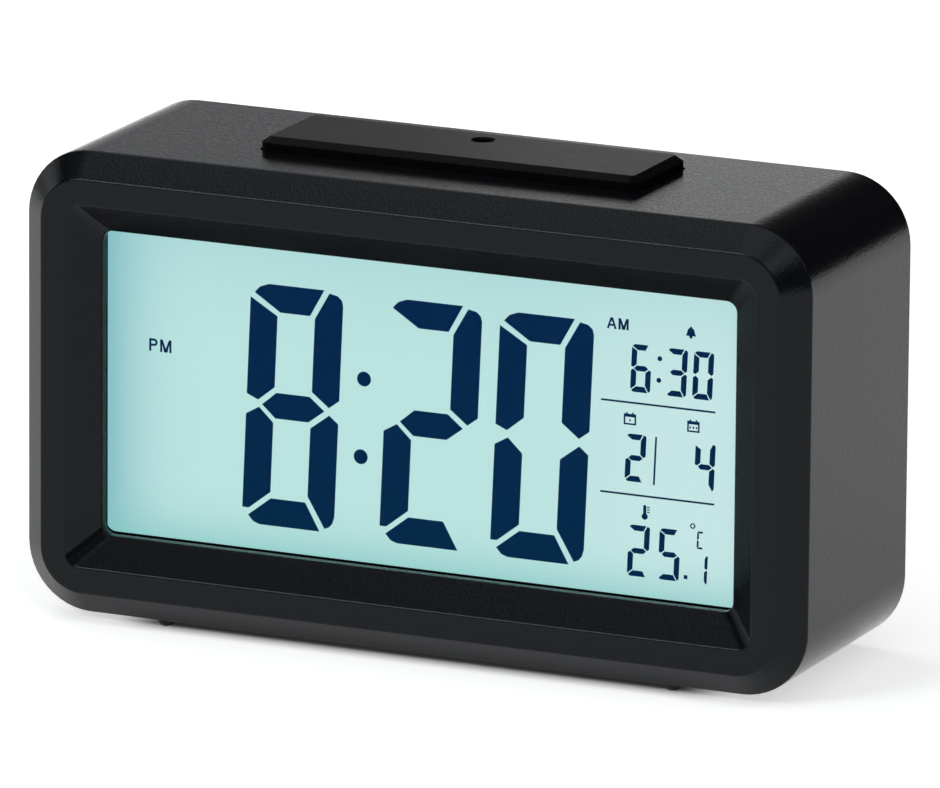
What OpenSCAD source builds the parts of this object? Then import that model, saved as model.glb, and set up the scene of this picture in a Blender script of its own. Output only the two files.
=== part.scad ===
// Bar-shaped digital alarm clock with a large liquid crystal display.
// Millimetres. +X is to the right seen from the front, the display faces -Y, +Z is up.
// The origin lies on the table under the middle of the housing.
// A "depth" below is a distance behind the flat front ring of the housing.

/* [Body] */
// Width of the housing
body_w = 135; // [132:1:160]
// Height of the housing without its feet
body_h = 75.6; // [75:0.2:90]
// Depth of the housing from the front ring to the rear rim
body_d = 43.6; // [43:0.2:60]
// Corner radius of the housing seen from the front
corner_r = 11; // [9:0.5:14]
// Wall thickness of the housing
shell_t = 2.2; // [1.8:0.1:2.6]
// Width of the bevel round the front
bevel_w = 4; // [2:0.1:5]
// Depth of the bevel round the front
bevel_d = 3.7; // [2:0.1:4.5]

/* [Front recess] */
// Width of the flat ring round the recess
ring_w = 4.1; // [3:0.1:5]
// Width of the sloped frame of the recess
slope_w = 4.75; // [4:0.05:5.5]
// Depth of the sloped frame of the recess
slope_d = 4; // [3.5:0.1:4.5]
// Height of the straight step between the slope and the window
step_d = 1.7; // [1.4:0.1:2.2]
// Corner radius of the recess at the ring
recess_corner_r = 2.4; // [2:0.1:4]
// Corner radius of the display opening
opening_corner_r = 1.8; // [1:0.1:2]
// Thickness of the sloped wall behind the recess
slope_t = 2; // [1.6:0.1:2.2]

/* [Feet] */
// Height of a foot below the housing
foot_h = 1.2; // [0.8:0.1:2]
// Radius of a foot where it meets the housing
foot_r = 1.4; // [1.2:0.1:2.4]
// Radius of the flat that a foot stands on
foot_flat_r = 0.6; // [0.4:0.1:0.9]
// Radius of the stem that holds a foot
foot_stem_r = 0.9; // [0.6:0.1:1]
// Length of the stem that holds a foot
foot_stem_h = 1.4; // [1:0.1:1.6]
// Distance of the feet from the side walls
foot_side_inset = 23.5; // [16:0.5:40]
// Distance of the feet from the front ring and from the rear rim
foot_end_inset = 5.7; // [5.4:0.1:9]

/* [Display] */
// Thickness of the clear window
window_t = 1; // [0.8:0.1:1.2]
// How far the window laps behind the edge of its opening
window_lap = 1.5; // [1:0.1:1.8]
// Thickness of the foam gasket between window and glass
gasket_t = 0.3; // [0.2:0.05:0.5]
// Thickness of each polariser
polariser_t = 0.2; // [0.1:0.05:0.3]
// Thickness of each sheet of glass
glass_t = 0.7; // [0.5:0.1:1.1]
// Thickness of the dark segments between the sheets of glass
segment_t = 0.1; // [0.1:0.05:0.2]
// How far the glass reaches past the opening
glass_margin = 1.85; // [1.7:0.05:2]
// Height of the contact ledge under the display
ledge_h = 2.4; // [2:0.1:3]
// Thickness of the light guide
guide_t = 2.5; // [2:0.1:3.5]
// Thickness of the white film behind the light guide
film_t = 0.2; // [0.1:0.05:0.4]
// Width of the display frame's rims beside the glass
frame_side_rim = 2; // [1.6:0.1:2.2]
// Width of the display frame's rims above and below the glass
frame_rim = 3.8; // [3.4:0.1:4]

/* [Digits] */
// Height of the time digits
digit_h = 39.8; // [30:0.2:40]
// Width of the time digits
digit_w = 16.1; // [12:0.1:17]
// Width of the upright bars of the time digits
digit_bar_x = 4.8; // [3:0.1:5]
// Height of the level bars of the time digits
digit_bar_z = 4.45; // [3:0.05:4.8]
// Lean of all digits, as sideways shift per unit of height
digit_lean = 0.039; // [0:0.001:0.1]
// Height of the alarm and date digits
small_h = 7.7; // [6:0.1:8.4]
// Width of the alarm and date digits
small_w = 3.4; // [3:0.1:3.6]
// Height of the temperature digits
temp_h = 8.3; // [7:0.1:8.6]
// Width of the temperature digits
temp_w = 3.6; // [3:0.1:3.8]
// Bar width of the alarm, date and temperature digits
small_bar = 0.92; // [0.6:0.02:1.1]
// Height of the alarm's morning flag
flag_h = 1.8; // [1.4:0.1:2.2]
// Height of the small pictures over the fields
icon_h = 2; // [1.6:0.1:2.2]
// Thickness of the thin rules between the fields
rule_t = 0.3; // [0.2:0.05:0.5]

/* [Snooze bar] */
// Width of the snooze bar at its foot
bar_w = 65.7; // [50:0.1:66]
// Depth of the snooze bar at its foot
bar_d = 19.3; // [17:0.1:20]
// Distance of the snooze bar's rear edge in front of the rear rim
bar_rear_inset = 8.85; // [8:0.05:11]
// Height of the snooze bar above the housing
bar_rise = 2.2; // [2:0.1:3.5]
// Width of the bevel round the top of the snooze bar
bar_bevel_w = 1.35; // [0.6:0.05:1.6]
// Height of the bevel round the top of the snooze bar
bar_bevel_h = 0.85; // [0.5:0.05:1.2]
// Corner radius of the snooze bar seen from above
bar_corner_r = 2; // [1.8:0.1:3]
// Wall thickness of the snooze bar
bar_t = 1.6; // [1.2:0.1:1.8]
// Gap round the snooze bar
bar_gap = 0.3; // [0.2:0.05:0.4]
// Travel of the snooze bar
bar_travel = 1; // [0.5:0.1:1.2]
// Radius of the sensor hole in the snooze bar
sensor_hole_r = 1.7; // [1.2:0.1:2.2]
// Distance of the sensor hole in front of the snooze bar's rear edge
sensor_hole_inset = 5.55; // [5:0.05:6.5]

/* [Rear] */
// How far the rear cover lies inside the rear rim
cover_inset = 2; // [1.6:0.1:3]
// Thickness of the rear cover
cover_t = 2.4; // [2.2:0.1:3]
// Gap round the rear cover
cover_gap = 0.15; // [0.1:0.05:0.3]
// Distance of the row of buttons below the top of the housing
button_row_inset = 18.3; // [17.5:0.1:19]
// Radius of a button
button_r = 3.75; // [3:0.05:4]
// Height of a button above the rear cover
button_rise = 1; // [0.7:0.1:1.5]
// Travel of a button
button_travel = 0.5; // [0.3:0.1:0.6]
// Distance of each slide switch from its side of the housing
slide_side_inset = 18.5; // [17:0.5:20]
// Distance of each slide switch from the nearest button
slide_gap = 19; // [18.5:0.5:21]
// Travel of a slide switch
slide_travel = 4; // [2:0.5:4]
// Thickness of the battery door
door_t = 1.4; // [1.2:0.1:1.6]
// How far the battery door laps over the edge of its opening
door_lap = 1.5; // [1.2:0.1:2]
// Gap round the battery door
door_gap = 0.25; // [0.2:0.05:0.4]

/* [Batteries] */
// Diameter of a cell
cell_d = 10.5; // [10:0.1:10.8]
// Length of a cell with its tip
cell_len = 44.5; // [42:0.1:46]
// Gap between two cells
cell_gap = 0.6; // [0.5:0.1:1]
// Length of a compressed contact spring
contact_spring_len = 4.3; // [3:0.1:6]
// Thickness of a contact plate
contact_t = 0.5; // [0.3:0.1:0.6]
// Wall thickness of the battery box
box_t = 1.4; // [1.2:0.1:1.8]
// Height of the battery box floor line above the housing floor
box_rise = 5; // [4.6:0.1:5.6]

/* [Circuit boards] */
// Thickness of the circuit boards
board_t = 1.2; // [0.8:0.1:1.6]
// Height of the button board
key_board_h = 14; // [12:0.5:14]
// Radius of the buzzer
buzzer_r = 7; // [5:0.5:8]
// Height of the buzzer
buzzer_h = 4; // [3:0.1:5]

/* [Hidden] */
$fn = 48;

// Colours as the photograph shows them, or as such pieces usually are
black_plastic = [0.12, 0.12, 0.13];
bar_black = [0.1, 0.1, 0.1];
clear = [0.85, 0.95, 0.95];
display_blue = [0.68, 0.87, 0.87];
segment_navy = [0.02, 0.13, 0.28];
board_green = [0.1, 0.35, 0.18];
metal = [0.75, 0.75, 0.77];
white_plastic = [0.92, 0.92, 0.9];
grey_rubber = [0.25, 0.25, 0.26];

// Heights
body_z0 = foot_h;
body_mid = body_z0 + body_h / 2;
body_top = body_z0 + body_h;
floor_in = body_z0 + shell_t;
top_in = body_top - shell_t;

// Front opening
recess_inset = bevel_w + ring_w;
opening_inset = recess_inset + slope_w;
opening_w = body_w - 2 * opening_inset;
opening_h = body_h - 2 * opening_inset;
window_w = opening_w + 2 * window_lap;
window_h = opening_h + 2 * window_lap;
window_gap = 0.15;
flange_rim = 1.7;
flange_w = window_w + 2 * (window_gap + flange_rim);
flange_h = window_h + 2 * (window_gap + flange_rim);
flange_t = 1.8;
slice = 0.01;

// Display stack, from the window to the main board
window_d0 = slope_d + step_d;
window_d1 = window_d0 + window_t;
gasket_d1 = window_d1 + gasket_t;
front_polariser_d1 = gasket_d1 + polariser_t;
front_glass_d1 = front_polariser_d1 + glass_t;
segment_d1 = front_glass_d1 + segment_t;
rear_glass_d1 = segment_d1 + glass_t;
rear_polariser_d1 = rear_glass_d1 + polariser_t;
guide_d1 = rear_polariser_d1 + guide_t;
film_d1 = guide_d1 + film_t;
film_gap = 0.3;
board_d0 = film_d1 + film_gap;
board_d1 = board_d0 + board_t;

// Glass outline: the front sheet carries the contact ledge at its lower edge
glass_w = opening_w + 2 * glass_margin;
glass_top = opening_h / 2 + glass_margin;
ledge_bottom = glass_top + ledge_h;
glass_gap = 0.2;
frame_w = glass_w + 2 * (glass_gap + frame_side_rim);
frame_top = glass_top + glass_gap + frame_rim;
frame_bottom = ledge_bottom + glass_gap + frame_rim;
zebra_end = 6.5;
zebra_edge = 0.3;
led_strip_t = 0.4;
led_t = 1;
led_strip_h = 40;
led_h = 3;
led_pitch = 13;
led_edge = 0.2;
guide_x0 = -glass_w / 2 + led_strip_t + led_t;
guide_x1 = glass_w / 2 - glass_gap;

// Display layout, from the middle of the opening
time_z = -21.5;
time_x1 = -31.15;
time_x2 = -7.15;
time_x3 = 12.03;
first_digit_lift = 0.35;
first_digit_cut = 0.4;
colon_x = -10.93;
colon_z = -1.75;
colon_half = 6.35;
colon_r = 1.2;
pm_x = -48.25;
pm_z = 5.1;
pm_h = 2.05;
letter_t = 0.35;
field_x0 = 30.15;
field_x1 = 49.6;
am_in = 0.85;
am_z = 17.45;
alarm_x1 = 35.2;
alarm_x2 = 41.3;
alarm_x3 = 45.75;
alarm_z = 7.7;
alarm_colon_x = 40;
alarm_colon_z = 11.75;
alarm_colon_half = 1.75;
alarm_colon_r = 0.4;
alarm_icon_x = 45.3;
alarm_icon_z = 17.3;
upper_rule_z = 5.9;
lower_rule_z = -8.93;
date_z = -6.95;
date_rule_x = 39.45;
date_rule_h = 7.8;
month_x = 34.42;
month_lift = 0.15;
day_x = 46.2;
month_icon_x = 35.1;
day_icon_x = 45.9;
date_icon_z = 2.3;
temp_x1 = 35;
temp_x2 = 40.25;
temp_z = -22.05;
temp_icon_x = 37.8;
temp_icon_z = -12.2;
temp_point = 0.62;
temp_point_x = 44.58;
temp_point_z = -21.5;
tenth_x = 46.6;
tenth_w = 1.95;
tenth_h = 4.7;
tenth_bar = 0.5;
degree_x = 46;
degree_z = -12.8;
degree_r = 0.45;
degree_t = 0.2;
unit_x = 46.75;
unit_z = -16.4;
unit_w = 1.2;
unit_h = 2.85;
unit_bar = 0.3;

// Bosses for the display frame
frame_boss_r = 2.3;
frame_boss_side = 4;
frame_boss_x = body_w / 2 - shell_t - frame_boss_side;
frame_boss_z = opening_h / 2 + frame_boss_side;
frame_seat_d = rear_polariser_d1;
ear_r = 3.1;
small_shank_r = 0.8;
small_pilot_r = small_shank_r + 0.05;
small_clear_r = small_shank_r + 0.2;
small_head_r = 1.7;
small_head_h = 1.2;
pilot_len = 5;

// Main board and its screws
main_board_w = frame_w - 0.4;
main_board_edge = 0.2;
board_screw_x = frame_w / 2 - 13.7;
board_screw_top = frame_top - frame_rim / 2;
board_screw_bottom = frame_bottom - frame_rim / 2;
crystal_x = 16;
crystal_z = body_mid + 4;
crystal_r = 1.5;
crystal_len = 8;
crystal_lead = 3;
capacitor_x = -22;
capacitor_z = body_mid + 6;
capacitor_pitch = 8;
capacitor_r = 2.5;
capacitor_h = 7;
chip_r = 7;
chip_h = 2.2;

// Rear cover
cover_d1 = body_d - cover_inset;
cover_d0 = cover_d1 - cover_t;
cover_w = body_w - 2 * (shell_t + cover_gap);
cover_h = body_h - 2 * (shell_t + cover_gap);
cup_h = 1.5;
cup_floor_t = 1.2;
cover_boss_d1 = cover_d0 - cup_h;
cover_boss_r = 4;
cover_boss_len = 13;
boss_bite = 0.2;
cover_boss_in = (corner_r - shell_t - cover_boss_r + boss_bite) / sqrt(2);
cover_boss_x = body_w / 2 - corner_r + cover_boss_in;
cover_boss_z = body_h / 2 - corner_r + cover_boss_in;
big_shank_r = 1.3;
big_pilot_r = big_shank_r + 0.05;
big_clear_r = big_shank_r + 0.25;
big_head_r = 2.6;
big_head_h = 1.8;
big_screw_len = 9;
cup_bore_r = big_head_r + 0.4;
cup_r = cup_bore_r + 1.3;

// Battery box
cell_pitch = cell_d + cell_gap;
box_in_w = cell_len + contact_spring_len + 2 * contact_t;
box_cell_gap = 0.45;
box_in_h = 2 * cell_pitch + cell_d + 2 * box_cell_gap;
box_in_z0 = floor_in + box_rise;
box_in_z1 = box_in_z0 + box_in_h;
door_in_d = cover_d1 - door_t;
cell_door_gap = 0.3;
cell_depth = door_in_d - cell_door_gap - cell_d / 2;
cell_floor_gap = 0.05;
box_floor_d = cell_depth - cell_d / 2 - cell_floor_gap;
cell_tip_r = 1.9;
cell_tip_h = 0.8;
contact_side = 8.4;
spring_wire_r = 0.35;
spring_turns = 3.5;
tail_w = 2;
tail_out = 1.5;
tail_d = box_floor_d + 2;
tail_gap = 0.1;

// Battery door
door_z0 = box_in_z0 - door_lap;
door_z1 = box_in_z1 + door_lap;
door_half_w = box_in_w / 2 + door_lap;
door_corner_r = 1.5;
tab_x = 15;
tab_w = 6;
tab_leg_t = 0.8;
tab_gap = 0.2;
tab_reach = 0.8;
tab_drop = 0.3;
tab_len = 1.1;
tab_notch_gap = 0.3;
tab_d1 = cover_d1 - cover_t - tab_drop;
tab_d0 = tab_d1 - tab_len;
latch_w = 12;
latch_leg_t = 0.8;
latch_gap = 0.4;
latch_slit = 0.7;
latch_len = 7;
ridge_n = 3;
ridge_pitch = 1.6;
ridge_h = 0.4;

// Button board, buttons and their switches
key_d1 = cover_d0 - 5;
key_d0 = key_d1 - board_t;
key_z = body_top - button_row_inset;
slide_x = body_w / 2 - slide_side_inset;
button_pitch = (slide_x - slide_gap) / 2;
button_x = [for (i = [-2 : 2]) i * button_pitch];
key_board_end = 8;
key_board_w = 2 * (slide_x + key_board_end);
button_gap = 0.2;
flange_gap = 0.3;
button_flange_t = 1.1;
button_flange_r = button_r + 0.9;
button_d0 = cover_d0 - flange_gap - button_flange_t;
tact_side = 6;
tact_h = 3;
plunger_r = 1.65;
plunger_gap = 0.08;
plunger_bite = 0.9;
plunger_bore = 1.8;
post_r = 2.3;

// Slide switches
knob_w = 3.6;
knob_h = 3.6;
knob_rise = 1.2;
knob_base_t = 1.1;
knob_base_w = 13;
knob_base_h = 6.6;
knob_d0 = cover_d0 - flange_gap - knob_base_t;
knob_groove = 0.4;
knob_groove_pitch = 1.1;
knob_pin = 1.4;
knob_pin_len = 1.6;
slot_gap = 0.3;
slide_body_w = 10;
slide_body_h = 5;
slide_body_t = 3;

// The posts of the button board stand halfway between the last button and the slide switch
key_post_x = (2 * button_pitch + button_flange_r + slide_x - slide_travel / 2 - knob_base_w / 2) / 2;

// Snooze bar and its board
bar_top = body_top + bar_rise;
bar_rear_d = body_d - bar_rear_inset;
bar_mid_d = bar_rear_d - bar_d / 2;
sensor_hole_d = bar_rear_d - sensor_hole_inset;
bar_skirt_z0 = top_in - 1.6;
bar_flange_w = 1;
bar_flange_t = 1.3;
snooze_top = top_in - 7.2;
snooze_d0 = bar_mid_d - 7.6;
snooze_d1 = bar_mid_d + 7.1;
spring_r = 2;
return_wire_r = 0.25;
return_turns = 6;
spring_side_gap = 1;
snooze_spring_x = bar_w / 2 - bar_t - spring_r - return_wire_r - spring_side_gap;
switch_to_spring = 8;
snooze_switch_x = snooze_spring_x - switch_to_spring;
snooze_post_gap = 1.85;
snooze_post_x = bar_w / 2 + bar_flange_w + post_r + snooze_post_gap;
snooze_post_d = bar_mid_d - 1.1;
snooze_board_end = 1.2;
snooze_board_w = 2 * (snooze_post_x + post_r + snooze_board_end);
snooze_pad_gap = 1;
snooze_pad_r = 2.4;
snooze_pad_z = snooze_top + tact_h + snooze_pad_gap;
spring_peg_r = 1.5;
spring_peg_h = 1.2;
sensor_r = 2.5;
sensor_t = 2.1;
sensor_drop = 2.1;
sensor_rim_r = sensor_hole_r + 0.35;
sensor_rim_h = 0.3;
sensor_plug_gap = 0.02;
sensor_plug_sink = 0.4;
lead_r = 0.25;

// Buzzer and vents
buzzer_side_inset = 21.5;
buzzer_x = body_w / 2 - buzzer_side_inset;
buzzer_z = body_mid - 15;
buzzer_ring_t = 0.8;
buzzer_ring_gap = 0.1;
buzzer_ring_h = 2.5;
buzzer_mouth_r = 1.2;
buzzer_mouth_h = 1;
sound_hole_r = 0.8;
sound_ring_r = 3.6;
vent_side_inset = 23.5;
vent_x = vent_side_inset - body_w / 2;
vent_z = body_mid + 7;
vent_w = 12;
vent_h = 1.4;
vent_pitch = 3;
vent_n = 4;
temp_bead_r = 1.3;
temp_drop = 4;
temp_lead_lap = 2;

// Wires
wire_r = 0.55;
thin_wire_r = 0.45;
wire_sides = 8;
ribbon_t = 0.3;
ribbon_w = 12;
snooze_ribbon_w = 8;
header_h = 3;
header_t = 2.4;
header_end = 1;
snooze_ribbon_x = snooze_spring_x - 2;
snooze_header_z = body_mid + 18;
snooze_header_d = snooze_post_d;

function y_at(d) = d - body_d / 2;
function at(x, d, z) = [x, y_at(d), z];
function unit(v) = v / norm(v);

// A rounded rectangle in the drawing plane, centred
module rounded_rect(w, h, r) {
    square([w - 2 * r, h], center = true);
    square([w, h - 2 * r], center = true);
    for (x = [-1, 1])
        for (y = [-1, 1])
            translate([x * (w / 2 - r), y * (h / 2 - r)])
                circle(r);
}

// Stands a flat outline (x to the right, y up) at a depth and gives it a thickness to the rear
module at_depth(d0, t) {
    translate([0, y_at(d0) + t, 0])
        rotate([90, 0, 0])
            linear_extrude(t)
                children();
}

// A slab with rounded corners and a bevel round its upper face
module beveled_slab(w, h, r, t, inset, rise) {
    linear_extrude(t - rise)
        rounded_rect(w, h, r);
    translate([0, 0, t - rise]) {
        rotate([90, 0, 0])
            linear_extrude(h - 2 * r, center = true)
                polygon([[-w / 2, 0], [w / 2, 0], [w / 2 - inset, rise], [-w / 2 + inset, rise]]);
        rotate([90, 0, 90])
            linear_extrude(w - 2 * r, center = true)
                polygon([[-h / 2, 0], [h / 2, 0], [h / 2 - inset, rise], [-h / 2 + inset, rise]]);
        for (x = [-1, 1])
            for (y = [-1, 1])
                translate([x * (w / 2 - r), y * (h / 2 - r), 0])
                    cylinder(h = rise, r1 = r, r2 = r - inset);
    }
}

// A beveled slab whose bevelled face looks to the front, between two depths
module front_slab(w, h, r, d0, d1, inset, rise) {
    translate([0, y_at(d1), body_mid])
        rotate([90, 0, 0])
            beveled_slab(w, h, r, d1 - d0, inset, rise);
}

// A round rod from one depth to another, to the rear
module rod(x, z, d0, d1, r) {
    translate(at(x, d0, z))
        rotate([-90, 0, 0])
            cylinder(h = d1 - d0, r = r);
}

// A block between two corners given as x, depth and z
module block(a, b) {
    translate(at(a[0], a[1], a[2]))
        cube([b[0] - a[0], b[1] - a[1], b[2] - a[2]]);
}

// Four mirrored copies round the middle of the housing
module four_corners(x, z) {
    for (sx = [-1, 1])
        for (sz = [-1, 1])
            translate([sx * x, 0, body_mid + sz * z])
                children();
}

// Screw with its head's underside at the origin and its shank along +Z
module screw(head_r, head_h, shank_r, len) {
    difference() {
        union() {
            translate([0, 0, -head_h])
                cylinder(h = head_h, r = head_r);
            cylinder(h = len, r = shank_r);
        }
        for (a = [0, 90])
            rotate([0, 0, a])
                translate([-head_r * 0.6, -head_r * 0.13, -head_h - slice])
                    cube([head_r * 1.2, head_r * 0.26, head_h * 0.5 + slice]);
    }
}

// Points between the chosen points of a route, on a smooth curve
function curve_point(p, i, t) =
    let (
        a = p[max(i - 1, 0)],
        b = p[i],
        c = p[i + 1],
        d = p[min(i + 2, len(p) - 1)]
    )
    (2 * b + (c - a) * t + (2 * a - 5 * b + 4 * c - d) * t * t
        + (3 * b - a - 3 * c + d) * t * t * t) / 2;
function smooth(p, n) = [
    for (i = [0 : len(p) - 2])
        for (k = [0 : n - 1])
            curve_point(p, i, k / n),
    p[len(p) - 1]
];
function tangent(p, i) = unit(p[min(i + 1, len(p) - 1)] - p[max(i - 1, 0)]);

// A smooth route whose first and last stretch is straight
function route(p, n) = concat([p[0]], smooth([for (i = [1 : len(p) - 2]) p[i]], n), [p[len(p) - 1]]);

// A round wire swept along a list of points; lean is a direction the wire never follows
module tube(p, r, sides, lean) {
    n = len(p);
    rings = [
        for (i = [0 : n - 1])
            let (
                t = tangent(p, i),
                u = unit(cross(t, lean)),
                v = cross(t, u)
            )
            for (s = [0 : sides - 1])
                p[i] + r * (cos(360 * s / sides) * u + sin(360 * s / sides) * v)
    ];
    sides_faces = [
        for (i = [0 : n - 2])
            for (s = [0 : sides - 1])
                let (
                    a = i * sides + s,
                    b = i * sides + (s + 1) % sides
                )
                each [[a, a + sides, b + sides], [a, b + sides, b]]
    ];
    first_cap = [for (s = [0 : sides - 1]) s];
    last_cap = [for (s = [sides - 1 : -1 : 0]) (n - 1) * sides + s];
    polyhedron(rings, concat(sides_faces, [first_cap, last_cap]), convexity = 10);
}

// Places of the four feet
module at_feet() {
    for (x = [-1, 1])
        for (d = [foot_end_inset, body_d - foot_end_inset])
            translate(at(x * (body_w / 2 - foot_side_inset), d, body_z0))
                children();
}

// The sloped wall behind the recess, with the flange that the window lies on
module recess_backing() {
    slope = slope_w / slope_d;
    reach = norm([slope_w, slope_d]);
    back_inset = recess_inset - slope_t * slope_d / reach;
    back_d = slope_t * slope_w / reach;
    start_inset = back_inset + (shell_t / 2 - back_d) * slope;
    end_inset = back_inset + (window_d0 - back_d) * slope;
    translate([0, 0, body_mid])
        hull() {
            at_depth(shell_t / 2, slice)
                rounded_rect(body_w - 2 * start_inset, body_h - 2 * start_inset,
                    recess_corner_r + slope_t, $fn = 32);
            at_depth(window_d0 - slice, slice)
                rounded_rect(body_w - 2 * end_inset, body_h - 2 * end_inset,
                    recess_corner_r, $fn = 32);
        }
    translate([0, 0, body_mid]) {
        at_depth(window_d0 - flange_t, flange_t)
            rounded_rect(flange_w, flange_h, opening_corner_r + flange_rim);
        at_depth(window_d0, window_t)
            difference() {
                rounded_rect(flange_w, flange_h, opening_corner_r + flange_rim);
                rounded_rect(window_w + 2 * window_gap, window_h + 2 * window_gap,
                    opening_corner_r);
            }
    }
}

// The space of the recess and of the display opening
module recess_space() {
    lead = 0.5;
    lead_inset = recess_inset - lead * slope_w / slope_d;
    translate([0, 0, body_mid]) {
        hull() {
            at_depth(-lead, slice)
                rounded_rect(body_w - 2 * lead_inset, body_h - 2 * lead_inset,
                    recess_corner_r, $fn = 32);
            at_depth(slope_d - slice, slice)
                rounded_rect(opening_w, opening_h, opening_corner_r, $fn = 32);
        }
        at_depth(slope_d - 2 * slice, step_d + 1)
            rounded_rect(opening_w, opening_h, opening_corner_r, $fn = 32);
    }
}

module front_housing() {
    color(black_plastic)
        difference() {
            union() {
                difference() {
                    front_slab(body_w, body_h, corner_r, 0, body_d, bevel_w, bevel_d);
                    difference() {
                        front_slab(body_w - 2 * shell_t, body_h - 2 * shell_t,
                            corner_r - shell_t, shell_t, body_d + 1, bevel_w, bevel_d);
                        recess_backing();
                    }
                }
                four_corners(frame_boss_x, frame_boss_z)
                    rod(0, 0, shell_t / 2, frame_seat_d, frame_boss_r);
                four_corners(cover_boss_x, cover_boss_z)
                    rod(0, 0, cover_boss_d1 - cover_boss_len, cover_boss_d1, cover_boss_r);
                for (x = [-1, 1])
                    translate(at(x * snooze_post_x, snooze_post_d, snooze_top))
                        cylinder(h = body_top - snooze_top - shell_t / 2, r = post_r);
            }
            recess_space();
            translate([0, y_at(bar_mid_d), top_in - 1])
                linear_extrude(shell_t + 2)
                    rounded_rect(bar_w + 2 * bar_gap, bar_d + 2 * bar_gap, bar_corner_r + bar_gap);
            four_corners(frame_boss_x, frame_boss_z)
                rod(0, 0, frame_seat_d - pilot_len, frame_seat_d + 1, small_pilot_r);
            four_corners(cover_boss_x, cover_boss_z)
                rod(0, 0, cover_boss_d1 - big_screw_len, cover_boss_d1 + 1, big_pilot_r);
            for (x = [-1, 1])
                translate(at(x * snooze_post_x, snooze_post_d, snooze_top - 1))
                    cylinder(h = pilot_len + 1, r = small_pilot_r);
            at_feet()
                translate([0, 0, -1])
                    cylinder(h = foot_stem_h + 1, r = foot_stem_r);
        }
}

module rubber_feet() {
    // A cap of a sphere, cut flat where it stands
    sink = (foot_r * foot_r + foot_h * foot_h - foot_flat_r * foot_flat_r) / (2 * foot_h);
    round_r = norm([foot_flat_r, sink]);
    color(grey_rubber)
        at_feet() {
            intersection() {
                translate([0, 0, sink - foot_h])
                    sphere(r = round_r);
                translate([0, 0, -foot_h])
                    cylinder(h = foot_h, r = foot_r + 1);
            }
            cylinder(h = foot_stem_h, r = foot_stem_r);
        }
}

module display_window() {
    color(clear)
        translate([0, 0, body_mid])
            at_depth(window_d0, window_t)
                rounded_rect(window_w, window_h, opening_corner_r);
}

module window_gasket() {
    color(black_plastic)
        translate([0, 0, body_mid])
            at_depth(window_d1, gasket_t)
                difference() {
                    square([window_w, window_h], center = true);
                    square([window_w - window_lap * 1.4, window_h - window_lap * 1.4], center = true);
                }
}

// Outline of the rear sheet and both polarisers
module glass_outline() {
    translate([-glass_w / 2, -glass_top])
        square([glass_w, 2 * glass_top]);
}

module lcd_front_polariser() {
    color(display_blue)
        translate([0, 0, body_mid])
            at_depth(gasket_d1, polariser_t)
                glass_outline();
}

module lcd_front_glass() {
    color(clear)
        translate([0, 0, body_mid])
            at_depth(front_polariser_d1, glass_t)
                translate([-glass_w / 2, -ledge_bottom])
                    square([glass_w, glass_top + ledge_bottom]);
}

module lcd_rear_glass() {
    color(clear)
        translate([0, 0, body_mid])
            at_depth(segment_d1, glass_t)
                glass_outline();
}

module lcd_rear_polariser() {
    color(display_blue)
        translate([0, 0, body_mid])
            at_depth(rear_glass_d1, polariser_t)
                glass_outline();
}

module light_guide() {
    color(clear)
        translate([0, 0, body_mid])
            at_depth(rear_polariser_d1, guide_t)
                translate([guide_x0, -glass_top])
                    square([guide_x1 - guide_x0, 2 * glass_top]);
}

module reflector_film() {
    color(white_plastic)
        translate([0, 0, body_mid])
            at_depth(guide_d1, film_t)
                translate([guide_x0, -glass_top])
                    square([guide_x1 - guide_x0, 2 * glass_top]);
}

module backlight_leds() {
    x0 = -glass_w / 2;
    color(white_plastic) {
        block([x0, rear_polariser_d1, body_mid - led_strip_h / 2],
            [x0 + led_strip_t, guide_d1, body_mid + led_strip_h / 2]);
        for (i = [-1, 0, 1])
            translate([0, 0, body_mid + i * led_pitch])
                block([x0 + led_strip_t, rear_polariser_d1 + led_edge, -led_h / 2],
                    [x0 + led_strip_t + led_t, guide_d1 - led_edge, led_h / 2]);
    }
}

module lcd_frame() {
    ear_gap = 0.2;
    color(white_plastic)
        difference() {
            union() {
                translate([0, 0, body_mid])
                    at_depth(gasket_d1, board_d0 - gasket_d1)
                        difference() {
                            translate([-frame_w / 2, -frame_bottom])
                                square([frame_w, frame_top + frame_bottom]);
                            translate([-glass_w / 2 - glass_gap, -ledge_bottom - glass_gap])
                                square([glass_w + 2 * glass_gap,
                                    glass_top + ledge_bottom + 2 * glass_gap]);
                        }
                four_corners(frame_boss_x, frame_boss_z)
                    rod(0, 0, frame_seat_d, board_d0, ear_r);
            }
            four_corners(frame_boss_x, frame_boss_z) {
                rod(0, 0, gasket_d1 - 1, frame_seat_d, frame_boss_r + ear_gap);
                rod(0, 0, gasket_d1, board_d0 + 1, small_clear_r);
            }
            for (x = [-1, 1])
                for (z = [-board_screw_bottom, board_screw_top])
                    rod(x * board_screw_x, body_mid + z, board_d0 - 4, board_d0 + 1, small_pilot_r);
            // The ears keep clear of the glass
            translate([0, 0, body_mid])
                at_depth(frame_seat_d - slice, board_d0 - frame_seat_d + 1)
                    translate([-glass_w / 2 - glass_gap, -glass_top - glass_gap])
                        square([glass_w + 2 * glass_gap, 2 * (glass_top + glass_gap)]);
        }
}

module zebra_strip() {
    half_w = glass_w / 2 - zebra_end;
    color(grey_rubber)
        block([-half_w, front_glass_d1, body_mid - ledge_bottom + zebra_edge],
            [half_w, board_d0, body_mid - glass_top - zebra_edge]);
}

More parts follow.
